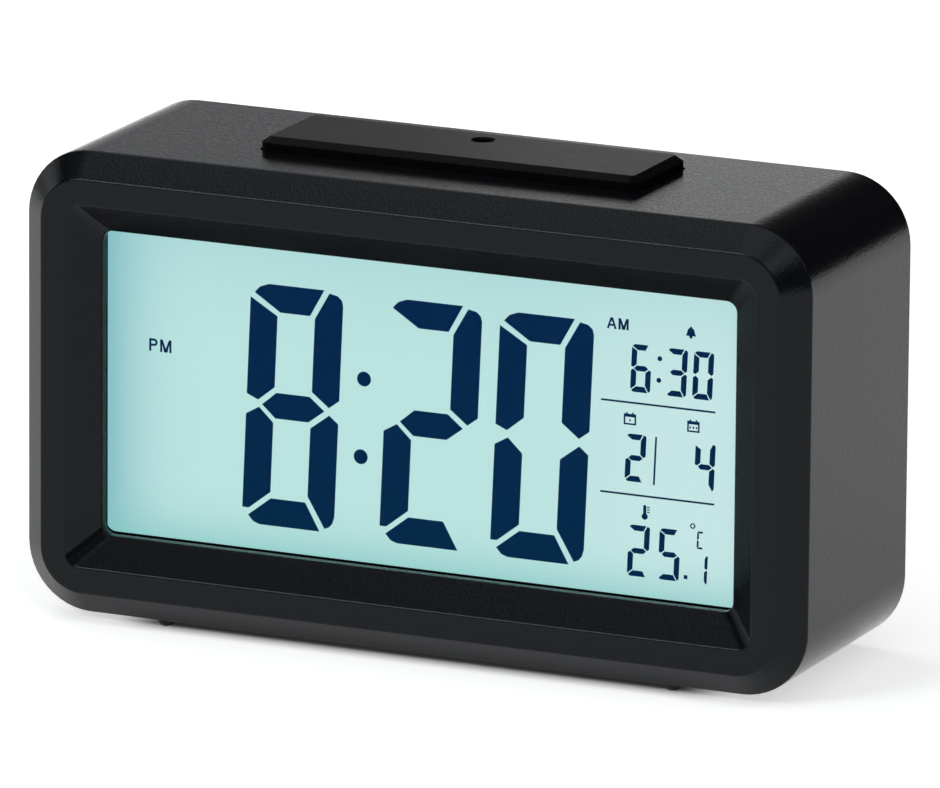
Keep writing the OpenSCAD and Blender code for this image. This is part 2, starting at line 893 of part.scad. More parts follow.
module main_board() {
    color(board_green)
        difference() {
            translate([0, 0, body_mid])
                at_depth(board_d0, board_t)
                    translate([-main_board_w / 2, -frame_bottom + main_board_edge])
                        square([main_board_w, frame_top + frame_bottom - 2 * main_board_edge]);
            for (x = [-1, 1])
                for (z = [-board_screw_bottom, board_screw_top])
                    rod(x * board_screw_x, body_mid + z, board_d0 - 1, board_d1 + 1, small_clear_r);
        }
}

module controller_chip() {
    // A drop of epoxy over the bare chip
    color(black_plastic)
        translate(at(0, board_d1, body_mid))
            rotate([-90, 0, 0])
                rotate_extrude()
                    polygon([
                        [0, 0],
                        for (a = [0 : 15 : 90])
                            [chip_r * cos(a), chip_h * sin(a)]
                    ]);
}

module crystal() {
    color(metal) {
        translate(at(crystal_x, board_d1 + crystal_r, crystal_z))
            cylinder(h = crystal_len, r = crystal_r);
        for (s = [-1, 1])
            translate(at(crystal_x + s * crystal_r / 3, board_d1 + lead_r, crystal_z - crystal_lead))
                cylinder(h = crystal_lead, r = lead_r);
    }
}

module capacitors() {
    color(metal)
        for (x = [0, 1])
            rod(capacitor_x - x * capacitor_pitch, capacitor_z, board_d1,
                board_d1 + capacitor_h, capacitor_r);
}

// Sockets that the two ribbons plug into, on the three boards
module ribbon_headers() {
    wide = ribbon_w / 2 + header_end;
    narrow = snooze_ribbon_w / 2 + header_end;
    color(white_plastic) {
        for (d = [board_d1, key_d0 - header_h])
            block([-wide, d, key_z - header_t / 2], [wide, d + header_h, key_z + header_t / 2]);
        block([snooze_ribbon_x - narrow, board_d1, snooze_header_z - header_t / 2],
            [snooze_ribbon_x + narrow, board_d1 + header_h, snooze_header_z + header_t / 2]);
        block([snooze_ribbon_x - narrow, snooze_header_d - header_t / 2,
                snooze_top - board_t - header_h],
            [snooze_ribbon_x + narrow, snooze_header_d + header_t / 2, snooze_top - board_t]);
    }
}
// A flat strip of even thickness along points given as depth and z
module flat_ribbon(x, w, p) {
    n = len(p);
    side = [
        for (i = [0 : n - 1])
            let (t = tangent(p, i))
            [-t[1], t[0]] * ribbon_t / 2
    ];
    edge = concat(
        [for (i = [0 : n - 1]) p[i] + side[i]],
        [for (i = [n - 1 : -1 : 0]) p[i] - side[i]]
    );
    translate([x - w / 2, 0, 0])
        rotate([90, 0, 90])
            linear_extrude(w)
                polygon([for (e = edge) [y_at(e[0]), e[1]]]);
}

module key_ribbon() {
    d0 = board_d1 + header_h;
    d1 = key_d0 - header_h;
    color(white_plastic)
        flat_ribbon(0, ribbon_w, route([
            [d0, key_z],
            [d0 + 0.6, key_z],
            [d0 + 2, key_z - 0.3],
            [(d0 + d1) / 2 - 2, key_z - 3],
            [(d0 + d1) / 2 + 2, key_z - 3],
            [d1 - 2, key_z - 0.3],
            [d1 - 0.6, key_z],
            [d1, key_z]
        ], 4));
}

module snooze_ribbon() {
    d0 = board_d1 + header_h;
    z1 = snooze_top - board_t - header_h;
    color(white_plastic)
        flat_ribbon(snooze_ribbon_x, snooze_ribbon_w, route([
            [d0, snooze_header_z],
            [d0 + 0.6, snooze_header_z],
            [d0 + 2.5, snooze_header_z - 0.5],
            [d0 + 5, snooze_header_z - 1.5],
            [snooze_header_d - 0.6, snooze_header_z + 0.5],
            [snooze_header_d, z1 - 0.6],
            [snooze_header_d, z1]
        ], 4));
}

module rear_cover() {
    color(black_plastic)
        difference() {
            union() {
                translate([0, 0, body_mid])
                    at_depth(cover_d0, cover_t)
                        rounded_rect(cover_w, cover_h, corner_r - shell_t - cover_gap);
                // Battery box
                block([-box_in_w / 2 - box_t, box_floor_d - box_t, box_in_z0 - box_t],
                    [box_in_w / 2 + box_t, cover_d0 + 1, box_in_z1 + box_t]);
                // Cups for the screw heads
                four_corners(cover_boss_x, cover_boss_z)
                    rod(0, 0, cover_boss_d1, cover_d0 + 1, cup_r);
                // Posts for the button board
                for (x = [-1, 1])
                    rod(x * key_post_x, key_z, key_d1, cover_d0 + 1, post_r);
                // Ring round the buzzer
                rod(buzzer_x, buzzer_z, cover_d0 - buzzer_ring_h, cover_d0 + 1,
                    buzzer_r + buzzer_ring_gap + buzzer_ring_t);
            }
            // Cups stay inside the rounded corners of the housing
            difference() {
                translate([0, 0, body_mid])
                    at_depth(cover_boss_d1 - 1, cup_h + cover_t + 1)
                        square([body_w + 10, body_h + 10], center = true);
                translate([0, 0, body_mid])
                    at_depth(cover_boss_d1 - 2, cup_h + cover_t + 3)
                        rounded_rect(cover_w, cover_h, corner_r - shell_t - cover_gap);
            }
            // Inside of the battery box and the seat of its door
            block([-box_in_w / 2, box_floor_d, box_in_z0], [box_in_w / 2, cover_d1 + 1, box_in_z1]);
            translate([0, 0, (door_z0 + door_z1) / 2])
                at_depth(door_in_d, door_t + 1)
                    rounded_rect(2 * door_half_w, door_z1 - door_z0, door_corner_r);
            // Notches for the tabs of the door
            for (x = [-1, 1])
                block([x * tab_x - tab_w / 2 - tab_notch_gap, tab_d0 - 0.6, box_in_z0 - box_t - 1],
                    [x * tab_x + tab_w / 2 + tab_notch_gap, cover_d0, box_in_z0 + 1]);
            // Slots for the contact tails
            for (s = [-1, 1])
                block([min(s * (box_in_w / 2 - 1), s * (box_in_w / 2 + box_t + 1)),
                        tail_d - tail_gap, tail_z(s) - tail_w / 2 - tail_gap],
                    [max(s * (box_in_w / 2 - 1), s * (box_in_w / 2 + box_t + 1)),
                        tail_d + contact_t + tail_gap, tail_z(s) + tail_w / 2 + tail_gap]);
            // Screw holes
            four_corners(cover_boss_x, cover_boss_z) {
                rod(0, 0, cover_boss_d1 - 1, cover_d1 + 1, big_clear_r);
                rod(0, 0, cover_boss_d1 + cup_floor_t, cover_d1 + 1, cup_bore_r);
            }
            for (x = [-1, 1])
                rod(x * key_post_x, key_z, key_d1 - 1, key_d1 + pilot_len - 0.8, small_pilot_r);
            // Button holes and switch slots
            for (x = button_x)
                rod(x, key_z, cover_d0 - 1, cover_d1 + 1, button_r + button_gap);
            for (s = [-1, 1])
                translate([s * slide_x, 0, key_z])
                    at_depth(cover_d0 - 1, cover_t + 2)
                        square([knob_w + slide_travel + 2 * slot_gap, knob_h + 2 * slot_gap],
                            center = true);
            // Buzzer seat and sound holes
            rod(buzzer_x, buzzer_z, cover_d0 - buzzer_ring_h - 1, cover_d0,
                buzzer_r + buzzer_ring_gap);
            rod(buzzer_x, buzzer_z, cover_d0 - 1, cover_d1 + 1, sound_hole_r);
            for (a = [0 : 60 : 300])
                rod(buzzer_x + sound_ring_r * cos(a), buzzer_z + sound_ring_r * sin(a),
                    cover_d0 - 1, cover_d1 + 1, sound_hole_r);
            // Vents for the temperature sensor
            for (i = [0 : vent_n - 1])
                translate([vent_x, 0, vent_z - i * vent_pitch])
                    at_depth(cover_d0 - 1, cover_t + 2)
                        square([vent_w, vent_h], center = true);
        }
}

module battery_door() {
    w = 2 * (door_half_w - door_gap);
    z0 = door_z0 + door_gap;
    z1 = door_z1 - door_gap;
    latch_z0 = z1 - latch_len;
    color(black_plastic) {
        difference() {
            translate([0, 0, (z0 + z1) / 2])
                at_depth(door_in_d, door_t)
                    rounded_rect(w, z1 - z0, door_corner_r - door_gap);
            // Slits that free the latch tongue
            for (x = [-1, 1])
                block([x * (latch_w / 2 + latch_slit / 2) - latch_slit / 2, door_in_d - 1, latch_z0],
                    [x * (latch_w / 2 + latch_slit / 2) + latch_slit / 2, cover_d1 + 1, z1 + 1]);
            // Grip grooves on the latch tongue
            for (i = [0 : ridge_n - 1])
                block([-latch_w / 2 + 1.5, cover_d1 - ridge_h, z1 - 1.9 - i * ridge_pitch],
                    [latch_w / 2 - 1.5, cover_d1 + 1, z1 - 1.1 - i * ridge_pitch]);
        }
        // Latch leg inside the box opening
        block([-latch_w / 2 + 1, tab_d0, box_in_z1 - latch_gap - latch_leg_t],
            [latch_w / 2 - 1, door_in_d, box_in_z1 - latch_gap]);
        // Two tabs that hook under the lower edge of the opening
        for (x = [-1, 1])
            block([x * tab_x - tab_w / 2, tab_d0, box_in_z0 + tab_gap],
                [x * tab_x + tab_w / 2, door_in_d, box_in_z0 + tab_gap + tab_leg_t]);
        for (x = [-1, 1])
            block([x * tab_x - tab_w / 2, tab_d0, box_in_z0 - tab_reach],
                [x * tab_x + tab_w / 2, tab_d1, box_in_z0 + tab_gap]);
    }
}

// Cells stand one above the other; each next one is turned round
function cell_z(i) = box_in_z0 + box_cell_gap + cell_d / 2 + (i - 1) * cell_pitch;
function tip_side(i) = i == 2 ? -1 : 1;
function tail_z(s) = s > 0 ? cell_z(3) : cell_z(1);

module cell(i) {
    s = tip_side(i);
    wall = s * (box_in_w / 2 - contact_t);
    color(white_plastic)
        translate([wall, y_at(cell_depth), cell_z(i)])
            rotate([0, -90 * s, 0]) {
                cylinder(h = cell_tip_h, r = cell_tip_r);
                translate([0, 0, cell_tip_h])
                    cylinder(h = cell_len - cell_tip_h, r = cell_d / 2);
            }
}

// Plate on the end wall of the battery box; s is its side
module contact_plate(s, z0, z1) {
    x0 = s > 0 ? box_in_w / 2 - contact_t : -box_in_w / 2;
    block([x0, cell_depth - contact_side / 2, z0 - contact_side / 2],
        [x0 + contact_t, cell_depth + contact_side / 2, z1 + contact_side / 2]);
}

// Conical coil from the plate to the flat end of a cell
module contact_coil(s, z) {
    steps = 10 * spring_turns;
    coil_sink = 0.15;
    free = contact_spring_len + coil_sink - 2 * spring_wire_r;
    p = [
        for (i = [0 : steps])
            let (
                f = i / steps,
                a = 360 * spring_turns * f,
                r = 3.8 - 1.8 * f
            )
            [
                s * (box_in_w / 2 - contact_t + coil_sink - spring_wire_r - free * f),
                y_at(cell_depth) + r * cos(a),
                z + r * sin(a)
            ]
    ];
    tube(p, spring_wire_r, 6, [1, 0, 0]);
}

module contact_tail(s) {
    x0 = box_in_w / 2 - contact_t / 2;
    x1 = box_in_w / 2 + box_t + tail_out;
    block([min(s * x0, s * x1), tail_d, tail_z(s) - tail_w / 2],
        [max(s * x0, s * x1), tail_d + contact_t, tail_z(s) + tail_w / 2]);
}

module bridge_contacts() {
    color(metal) {
        contact_plate(1, cell_z(1), cell_z(2));
        contact_coil(1, cell_z(2));
        contact_plate(-1, cell_z(2), cell_z(3));
        contact_coil(-1, cell_z(3));
    }
}

module negative_contact() {
    color(metal) {
        contact_plate(-1, cell_z(1), cell_z(1));
        contact_coil(-1, cell_z(1));
        contact_tail(-1);
    }
}

module positive_contact() {
    color(metal) {
        contact_plate(1, cell_z(3), cell_z(3));
        contact_tail(1);
    }
}

module battery_wires() {
    out = box_in_w / 2 + box_t + tail_out;
    d = tail_d + contact_t / 2;
    color([0.7, 0.1, 0.1])
        for (s = [-1, 1])
            tube(route([
                at(s * out, d, tail_z(s)),
                at(s * (out + 0.8), d, tail_z(s)),
                at(s * (out + 2.5), d - 0.6, tail_z(s) + 0.3),
                at(s * (out + 5), d - 4, tail_z(s) + 1),
                at(s * (out + 6), 22, tail_z(s) + 2),
                at(s * (out + 6), board_d1 + 1, tail_z(s) + 2),
                at(s * (out + 6), board_d1, tail_z(s) + 2)
            ], 4), wire_r, wire_sides, [0, 0, 1]);
}

module buzzer() {
    color(black_plastic)
        difference() {
            rod(buzzer_x, buzzer_z, cover_d0 - buzzer_h, cover_d0, buzzer_r);
            rod(buzzer_x, buzzer_z, cover_d0 - buzzer_mouth_h, cover_d0 + 1, buzzer_mouth_r);
        }
}

module buzzer_wires() {
    d = cover_d0 - buzzer_h;
    color([0.1, 0.1, 0.1])
        for (s = [-1, 1])
            tube(route([
                at(buzzer_x + s * 2.5, d, buzzer_z + 3),
                at(buzzer_x + s * 2.5, d - 0.8, buzzer_z + 3),
                at(buzzer_x + s * 2.4, d - 3, buzzer_z + 3.5),
                at(buzzer_x - 1 + s * 2, 26, buzzer_z + 5.5),
                at(buzzer_x - 2 + s * 1.5, 20, buzzer_z + 6),
                at(buzzer_x - 2 + s * 1.5, board_d1 + 1, buzzer_z + 6),
                at(buzzer_x - 2 + s * 1.5, board_d1, buzzer_z + 6)
            ], 4), thin_wire_r, wire_sides, [0, 0, 1]);
}

module key_board() {
    color(board_green)
        difference() {
            translate([0, 0, key_z])
                at_depth(key_d0, board_t)
                    square([key_board_w, key_board_h], center = true);
            for (x = [-1, 1])
                rod(x * key_post_x, key_z, key_d0 - 1, key_d1 + 1, small_clear_r);
        }
}

module tact_switches() {
    color(metal)
        for (x = button_x)
            difference() {
                translate([x, 0, key_z])
                    at_depth(key_d1, tact_h)
                        square([tact_side, tact_side], center = true);
                rod(x, key_z, key_d1 + tact_h - plunger_bore, key_d1 + tact_h + 1,
                    plunger_r + plunger_gap);
            }
}

module button(i) {
    color(bar_black) {
        rod(button_x[i], key_z, button_d0, button_d0 + button_flange_t, button_flange_r);
        rod(button_x[i], key_z, button_d0 + button_flange_t / 2, cover_d1 + button_rise, button_r);
    }
}

module plunger(i) {
    color(white_plastic)
        rod(button_x[i], key_z, key_d1 + tact_h - plunger_bite, button_d0, plunger_r);
}

module slide_switch_bodies() {
    color(metal)
        for (s = [-1, 1])
            difference() {
                translate([s * slide_x, 0, key_z])
                    at_depth(key_d1, slide_body_t)
                        square([slide_body_w, slide_body_h], center = true);
                translate([s * slide_x, 0, key_z])
                    at_depth(key_d1 + slide_body_t - 2, 3)
                        square([knob_pin + slide_travel + 2 * slot_gap, knob_pin + 2 * slot_gap],
                            center = true);
            }
}

// Knob of a slide switch, at the left end of its slot
module knob(s) {
    x = s * slide_x - slide_travel / 2;
    color(bar_black)
        translate([x, 0, key_z]) {
            at_depth(knob_d0, knob_base_t)
                square([knob_base_w, knob_base_h], center = true);
            difference() {
                at_depth(knob_d0 + knob_base_t / 2, cover_d1 + knob_rise - knob_d0 - knob_base_t / 2)
                    square([knob_w, knob_h], center = true);
                for (g = [-1, 0, 1])
                    translate([g * knob_groove_pitch - knob_groove / 2,
                            y_at(cover_d1 + knob_rise) - knob_groove, -knob_h / 2 - 1])
                        cube([knob_groove, 1, knob_h + 2]);
            }
            at_depth(knob_d0 - knob_pin_len, knob_pin_len + knob_base_t / 2)
                square([knob_pin, knob_pin], center = true);
        }
}

module temp_sensor() {
    z = key_z - key_board_h / 2 - temp_drop;
    color(bar_black)
        translate(at(vent_x, key_d1 + temp_bead_r, z))
            sphere(r = temp_bead_r);
    color(metal)
        for (s = [-1, 1])
            translate(at(vent_x + s * temp_bead_r / 2, key_d1 + lead_r, z))
                cylinder(h = temp_drop + temp_lead_lap, r = lead_r);
}

module snooze_bar() {
    skirt_h = bar_top - bar_skirt_z0;
    color(bar_black)
        difference() {
            union() {
                translate([0, y_at(bar_mid_d), bar_skirt_z0])
                    difference() {
                        beveled_slab(bar_w, bar_d, bar_corner_r, skirt_h, bar_bevel_w, bar_bevel_h);
                        translate([0, 0, -1])
                            linear_extrude(skirt_h - bar_t + 1)
                                square([bar_w - 2 * bar_t, bar_d - 2 * bar_t], center = true);
                    }
                // Flange that keeps the bar in the housing
                translate([0, y_at(bar_mid_d), bar_skirt_z0])
                    linear_extrude(bar_flange_t)
                        difference() {
                            rounded_rect(bar_w + 2 * bar_flange_w, bar_d + 2 * bar_flange_w,
                                bar_corner_r + bar_flange_w);
                            square([bar_w - 2 * bar_t, bar_d - 2 * bar_t], center = true);
                        }
                // Pads that press the switches, and pegs inside the springs
                for (x = [-1, 1])
                    translate(at(x * snooze_switch_x, bar_mid_d, snooze_pad_z))
                        cylinder(h = bar_top - bar_t / 2 - snooze_pad_z, r = snooze_pad_r);
                for (x = [-1, 1])
                    translate(at(x * snooze_spring_x, bar_mid_d, bar_top - bar_t - spring_peg_h))
                        cylinder(h = spring_peg_h + bar_t / 2, r = spring_peg_r);
            }
            translate(at(0, sensor_hole_d, bar_top - bar_t - 1))
                cylinder(h = bar_t + 2, r = sensor_hole_r);
            translate(at(0, sensor_hole_d, bar_top - sensor_rim_h))
                cylinder(h = sensor_rim_h + slice, r1 = sensor_hole_r, r2 = sensor_rim_r);
        }
}
module sensor_window() {
    color(clear)
        translate(at(0, sensor_hole_d, bar_top - bar_t))
            cylinder(h = bar_t - sensor_rim_h - sensor_plug_sink,
                r = sensor_hole_r - sensor_plug_gap);
}

module snooze_board() {
    color(board_green)
        difference() {
            block([-snooze_board_w / 2, snooze_d0, snooze_top - board_t],
                [snooze_board_w / 2, snooze_d1, snooze_top]);
            for (x = [-1, 1])
                translate(at(x * snooze_post_x, snooze_post_d, snooze_top - board_t - 1))
                    cylinder(h = board_t + 2, r = small_clear_r);
        }
}

module snooze_switches() {
    color(metal)
        for (x = [-1, 1])
            difference() {
                translate(at(x * snooze_switch_x, bar_mid_d, snooze_top))
                    linear_extrude(tact_h)
                        square([tact_side, tact_side], center = true);
                translate(at(x * snooze_switch_x, bar_mid_d, snooze_top + tact_h - plunger_bore - 0.5))
                    cylinder(h = plunger_bore + 2, r = plunger_r + plunger_gap);
            }
}

module snooze_plungers() {
    color(white_plastic)
        for (x = [-1, 1])
            translate(at(x * snooze_switch_x, bar_mid_d, snooze_top + tact_h - plunger_bite))
                cylinder(h = snooze_pad_z - snooze_top - tact_h + plunger_bite, r = plunger_r);
}

module snooze_springs() {
    steps = 10 * return_turns;
    z0 = snooze_top + return_wire_r;
    z1 = bar_top - bar_t - return_wire_r;
    color(metal)
        for (x = [-1, 1])
            tube([
                for (i = [0 : steps])
                    let (
                        f = i / steps,
                        a = 360 * return_turns * f
                    )
                    [
                        x * snooze_spring_x + spring_r * cos(a),
                        y_at(bar_mid_d) + spring_r * sin(a),
                        z0 + (z1 - z0) * f
                    ]
            ], return_wire_r, 6, [0, 0, 1]);
}

module light_sensor() {
    top = bar_top - bar_t - sensor_drop;
    color([0.8, 0.55, 0.3])
        translate(at(0, sensor_hole_d, top - sensor_t))
            cylinder(h = sensor_t, r = sensor_r);
    color(metal)
        for (s = [-1, 1])
            translate(at(s * sensor_r / 2, sensor_hole_d, snooze_top))
                cylinder(h = top - sensor_t - snooze_top, r = lead_r);
}

module housing_screws() {
    color(metal)
        four_corners(cover_boss_x, cover_boss_z)
            translate([0, y_at(cover_boss_d1 + cup_floor_t), 0])
                rotate([90, 0, 0])
                    screw(big_head_r, big_head_h, big_shank_r, big_screw_len - 0.5);
}

module frame_screws() {
    color(metal)
        four_corners(frame_boss_x, frame_boss_z)
            translate([0, y_at(board_d0), 0])
                rotate([90, 0, 0])
                    screw(small_head_r, small_head_h, small_shank_r,
                        board_d0 - frame_seat_d + pilot_len - 0.5);
}

// Screws of the main board, the button board and the snooze board
module board_screws() {
    color(metal) {
        for (x = [-1, 1])
            for (z = [-board_screw_bottom, board_screw_top])
                translate([x * board_screw_x, y_at(board_d1), body_mid + z])
                    rotate([90, 0, 0])
                        screw(small_head_r, small_head_h, small_shank_r, 4.5);
        for (x = [-1, 1])
            translate([x * key_post_x, y_at(key_d0), key_z])
                rotate([-90, 0, 0])
                    screw(small_head_r, small_head_h, small_shank_r, 4.5);
        for (x = [-1, 1])
            translate(at(x * snooze_post_x, snooze_post_d, snooze_top - board_t))
                screw(small_head_r, small_head_h, small_shank_r, 5);
    }
}

// Arc points from one angle to another
function arc(c, r, a0, a1, n) = [
    for (i = [0 : n])
        let (a = a0 + (a1 - a0) * i / n)
        c + r * [cos(a), sin(a)]
];

// One bar of a seven-bar digit of size w by h; x and z are the widths of its bars.
// The upper left corner belongs to the top bar and the upper right one to the upper
// right bar; below, the left corner belongs to the bottom bar.
function bar_points(name, w, h, x, z) =
    let (m = h / 2)
    name == "a" ? concat(
        [[0.14 * x, h - 0.35 * z]],
        [[0.32 * x, h - 0.13 * z], [0.64 * x, h]],
        [[w - 0.7 * x, h], [w - 1.18 * x, h - z], [1.1 * x, h - z]]
    ) :
    name == "b" ? concat(
        [[w - 0.51 * x, h - 0.1 * z]],
        [[w - 0.22 * x, h - 0.16 * z], [w - 0.06 * x, h - 0.3 * z]],
        [[w, h - 0.5 * z], [w, m + 0.44 * z], [w - 0.36 * x, m + 0.14 * z]],
        [[w - x, m + 0.66 * z], [w - x, h - 1.09 * z]]
    ) :
    name == "c" ? concat(
        [[w - 0.34 * x, m - 0.13 * z], [w, m - 0.42 * z], [w, 0.6 * z]],
        [[w - 0.06 * x, 0.35 * z], [w - 0.17 * x, 0.2 * z], [w - 0.34 * x, 0.12 * z]],
        [[w - x, 1.24 * z], [w - x, m - 0.68 * z]]
    ) :
    name == "d" ? concat(
        [[0.22 * x, 0.31 * z], [1.02 * x, z], [w - 1.08 * x, z], [w - 0.52 * x, 0]],
        [[0.66 * x, 0], [0.42 * x, 0.08 * z]]
    ) :
    name == "e" ? [
        [0, m - 0.4 * z], [0.46 * x, m - 0.11 * z], [x, m - 0.64 * z],
        [x, 1.23 * z], [0.24 * x, 0.57 * z], [0, 0.57 * z]
    ] :
    name == "f" ? [
        [0, h - 0.53 * z], [x, h - 1.15 * z], [x, m + 0.67 * z],
        [0.42 * x, m + 0.15 * z], [0, m + 0.34 * z]
    ] : [
        [0.57 * x, m], [1.07 * x, m + 0.47 * z], [w - 1.08 * x, m + 0.47 * z],
        [w - 0.52 * x, m], [w - 1.08 * x, m - 0.47 * z], [1.07 * x, m - 0.47 * z]
    ];

// A digit leaning round the middle of its height; p is the lower left corner at that height
module digit(bars, p, w, h, x, z) {
    for (name = bars)
        polygon([
            for (q = bar_points(name, w, h, x, z))
                [p[0] + q[0] + digit_lean * (q[1] - h / 2), p[1] + q[1]]
        ]);
}

// A straight stroke of even thickness from a to b
module stroke(a, b, t) {
    n = unit([a[1] - b[1], b[0] - a[0]]) * t / 2;
    polygon([a + n, b + n, b - n, a - n]);
}

// Letters of the morning and afternoon flags, from strokes of a height
module letter_m(p, h, t) {
    w = h * 0.96;
    difference() {
        translate(p)
            square([w, h]);
        translate(p) {
            polygon([[t, -1], [t, h - 1.9 * t], [w / 2 - t * 0.1, -1]]);
            polygon([[w - t, -1], [w - t, h - 1.9 * t], [w / 2 + t * 0.1, -1]]);
            polygon([[t * 1.2, h + slice], [w - t * 1.2, h + slice], [w / 2, t * 1.7]]);
        }
    }
}

module letter_a(p, h, t) {
    w = h * 0.92;
    translate(p)
        difference() {
            polygon([[0, 0], [w / 2 - t * 0.6, h], [w / 2 + t * 0.6, h], [w, 0]]);
            polygon([[t * 1.1, -slice], [w * 0.5 - w * 0.24, h * 0.24], [w * 0.5 + w * 0.24, h * 0.24],
                [w - t * 1.1, -slice]]);
            polygon([[w * 0.5 - w * 0.17, h * 0.42], [w / 2, h - t * 1.4], [w * 0.5 + w * 0.17, h * 0.42]]);
        }
}

module letter_p(p, h, t) {
    r = h * 0.29;
    translate(p)
        difference() {
            union() {
                square([t, h]);
                translate([0, h - 2 * r])
                    square([h * 0.42, 2 * r]);
                translate([h * 0.42, h - r])
                    circle(r);
            }
            translate([t, h - 2 * r + t])
                square([h * 0.42 - t, 2 * r - 2 * t]);
            translate([h * 0.42, h - r])
                circle(r - t);
        }
}

// A bell over the alarm time
module bell_icon(p, h) {
    translate(p) {
        translate([0, h * 0.55])
            circle(h * 0.3);
        polygon([[-h * 0.3, h * 0.55], [h * 0.3, h * 0.55], [h * 0.42, h * 0.2], [-h * 0.42, h * 0.2]]);
        translate([0, h * 0.13])
            circle(h * 0.13);
        translate([0, h * 0.88])
            circle(h * 0.09);
    }
}

// A wall calendar sheet over the month, with a grid of days over the date
module calendar_icon(p, h, days) {
    t = h * 0.13;
    w = h * 1.05;
    translate(p) {
        difference() {
            translate([-w / 2, 0])
                square([w, h * 0.88]);
            translate([-w / 2 + t, t])
                square([w - 2 * t, h * 0.5]);
        }
        for (s = [-1, 1])
            translate([s * w * 0.25 - t / 2, h * 0.8])
                square([t, h * 0.2]);
        for (i = [0 : days - 1])
            translate([(i - (days - 1) / 2) * w * 0.26 - t * 0.45, h * 0.28])
                square([t * 0.9, t * 1.3]);
    }
}

// A thermometer over the temperature
module thermometer_icon(p, h) {
    translate(p) {
        circle(h * 0.26);
        translate([-h * 0.13, 0])
            square([h * 0.26, h * 0.8]);
        translate([0, h * 0.8])
            circle(h * 0.13);
        for (i = [0 : 2])
            translate([h * 0.2, h * (0.32 + 0.2 * i)])
                square([h * 0.22, h * 0.09]);
    }
}

// Everything that shows dark on the display, about the middle of the opening
module display_pattern() {
    all_bars = ["a", "b", "c", "d", "e", "f", "g"];
    two = ["a", "b", "d", "e", "g"];
    zero = ["a", "b", "c", "d", "e", "f"];
    // Time
    digit(all_bars, [time_x1, time_z + first_digit_lift], digit_w, digit_h - first_digit_cut,
        digit_bar_x, digit_bar_z);
    digit(two, [time_x2, time_z], digit_w, digit_h, digit_bar_x, digit_bar_z);
    digit(zero, [time_x3, time_z], digit_w, digit_h, digit_bar_x, digit_bar_z);
    for (s = [-1, 1])
        translate([colon_x + s * digit_lean * colon_half, colon_z + s * colon_half])
            circle(colon_r);
    // Flags
    letter_p([pm_x, pm_z], pm_h, letter_t);
    letter_m([pm_x + pm_h * 0.94, pm_z], pm_h, letter_t);
    letter_a([field_x0 + am_in, am_z], flag_h, letter_t);
    letter_m([field_x0 + am_in + flag_h * 1.1, am_z], flag_h, letter_t);
    // Alarm time
    bell_icon([alarm_icon_x, alarm_icon_z], icon_h);
    digit(["a", "c", "d", "e", "f", "g"], [alarm_x1, alarm_z], small_w, small_h, small_bar, small_bar);
    digit(["a", "b", "c", "d", "g"], [alarm_x2, alarm_z], small_w, small_h, small_bar, small_bar);
    digit(zero, [alarm_x3, alarm_z], small_w, small_h, small_bar, small_bar);
    for (s = [-1, 1])
        translate([alarm_colon_x + s * digit_lean * alarm_colon_half, alarm_colon_z + s * alarm_colon_half])
            circle(alarm_colon_r);
    // Rules
    for (z = [upper_rule_z, lower_rule_z])
        stroke([field_x0, z], [field_x1, z], rule_t);
    stroke([date_rule_x + digit_lean * date_rule_h / 2, date_z + date_rule_h],
        [date_rule_x - digit_lean * date_rule_h / 2, date_z], rule_t);
    // Month and day
    calendar_icon([month_icon_x, date_icon_z], icon_h, 1);
    calendar_icon([day_icon_x, date_icon_z], icon_h, 3);
    digit(two, [month_x, date_z + month_lift], small_w, small_h, small_bar, small_bar);
    digit(["b", "c", "f", "g"], [day_x, date_z], small_w, small_h, small_bar, small_bar);
    // Temperature
    thermometer_icon([temp_icon_x, temp_icon_z], icon_h);
    digit(two, [temp_x1, temp_z], temp_w, temp_h, small_bar, small_bar);
    digit(["a", "c", "d", "f", "g"], [temp_x2, temp_z], temp_w, temp_h, small_bar, small_bar);
    translate([temp_point_x, temp_point_z])
        square([temp_point, temp_point]);
    digit(["b", "c"], [tenth_x, temp_z], tenth_w, tenth_h, tenth_bar, tenth_bar);
    translate([degree_x, degree_z])
        difference() {
            circle(degree_r);
            circle(degree_r - degree_t);
        }
    digit(["a", "d", "e", "f"], [unit_x, unit_z], unit_w, unit_h, unit_bar, unit_bar);
}

module lcd_segments() {
    color(segment_navy)
        translate([0, 0, body_mid])
            at_depth(front_glass_d1, segment_t)
                display_pattern();
}

front_housing();
rear_cover();
battery_door();
snooze_bar();
sensor_window();
display_window();
window_gasket();
lcd_front_polariser();
lcd_front_glass();
lcd_segments();
lcd_rear_glass();
lcd_rear_polariser();
light_guide();
reflector_film();
backlight_leds();
lcd_frame();
zebra_strip();
main_board();
controller_chip();
crystal();
capacitors();
ribbon_headers();
key_board();
tact_switches();
button(0);  // time_set_button
button(1);  // alarm_set_button
button(2);  // up_button
button(3);  // down_button
button(4);  // temp_unit_button
plunger(0);  // time_set_plunger
plunger(1);  // alarm_set_plunger
plunger(2);  // up_plunger
plunger(3);  // down_plunger
plunger(4);  // temp_unit_plunger
slide_switch_bodies();
knob(-1);  // alarm_switch_knob
knob(1);  // light_switch_knob
snooze_board();
snooze_switches();
snooze_plungers();
snooze_springs();
light_sensor();
temp_sensor();
buzzer();
cell(1);  // aaa_cell_1
cell(2);  // aaa_cell_2
cell(3);  // aaa_cell_3
bridge_contacts();
negative_contact();
positive_contact();
battery_wires();
buzzer_wires();
key_ribbon();
snooze_ribbon();
housing_screws();
frame_screws();
board_screws();
rubber_feet();
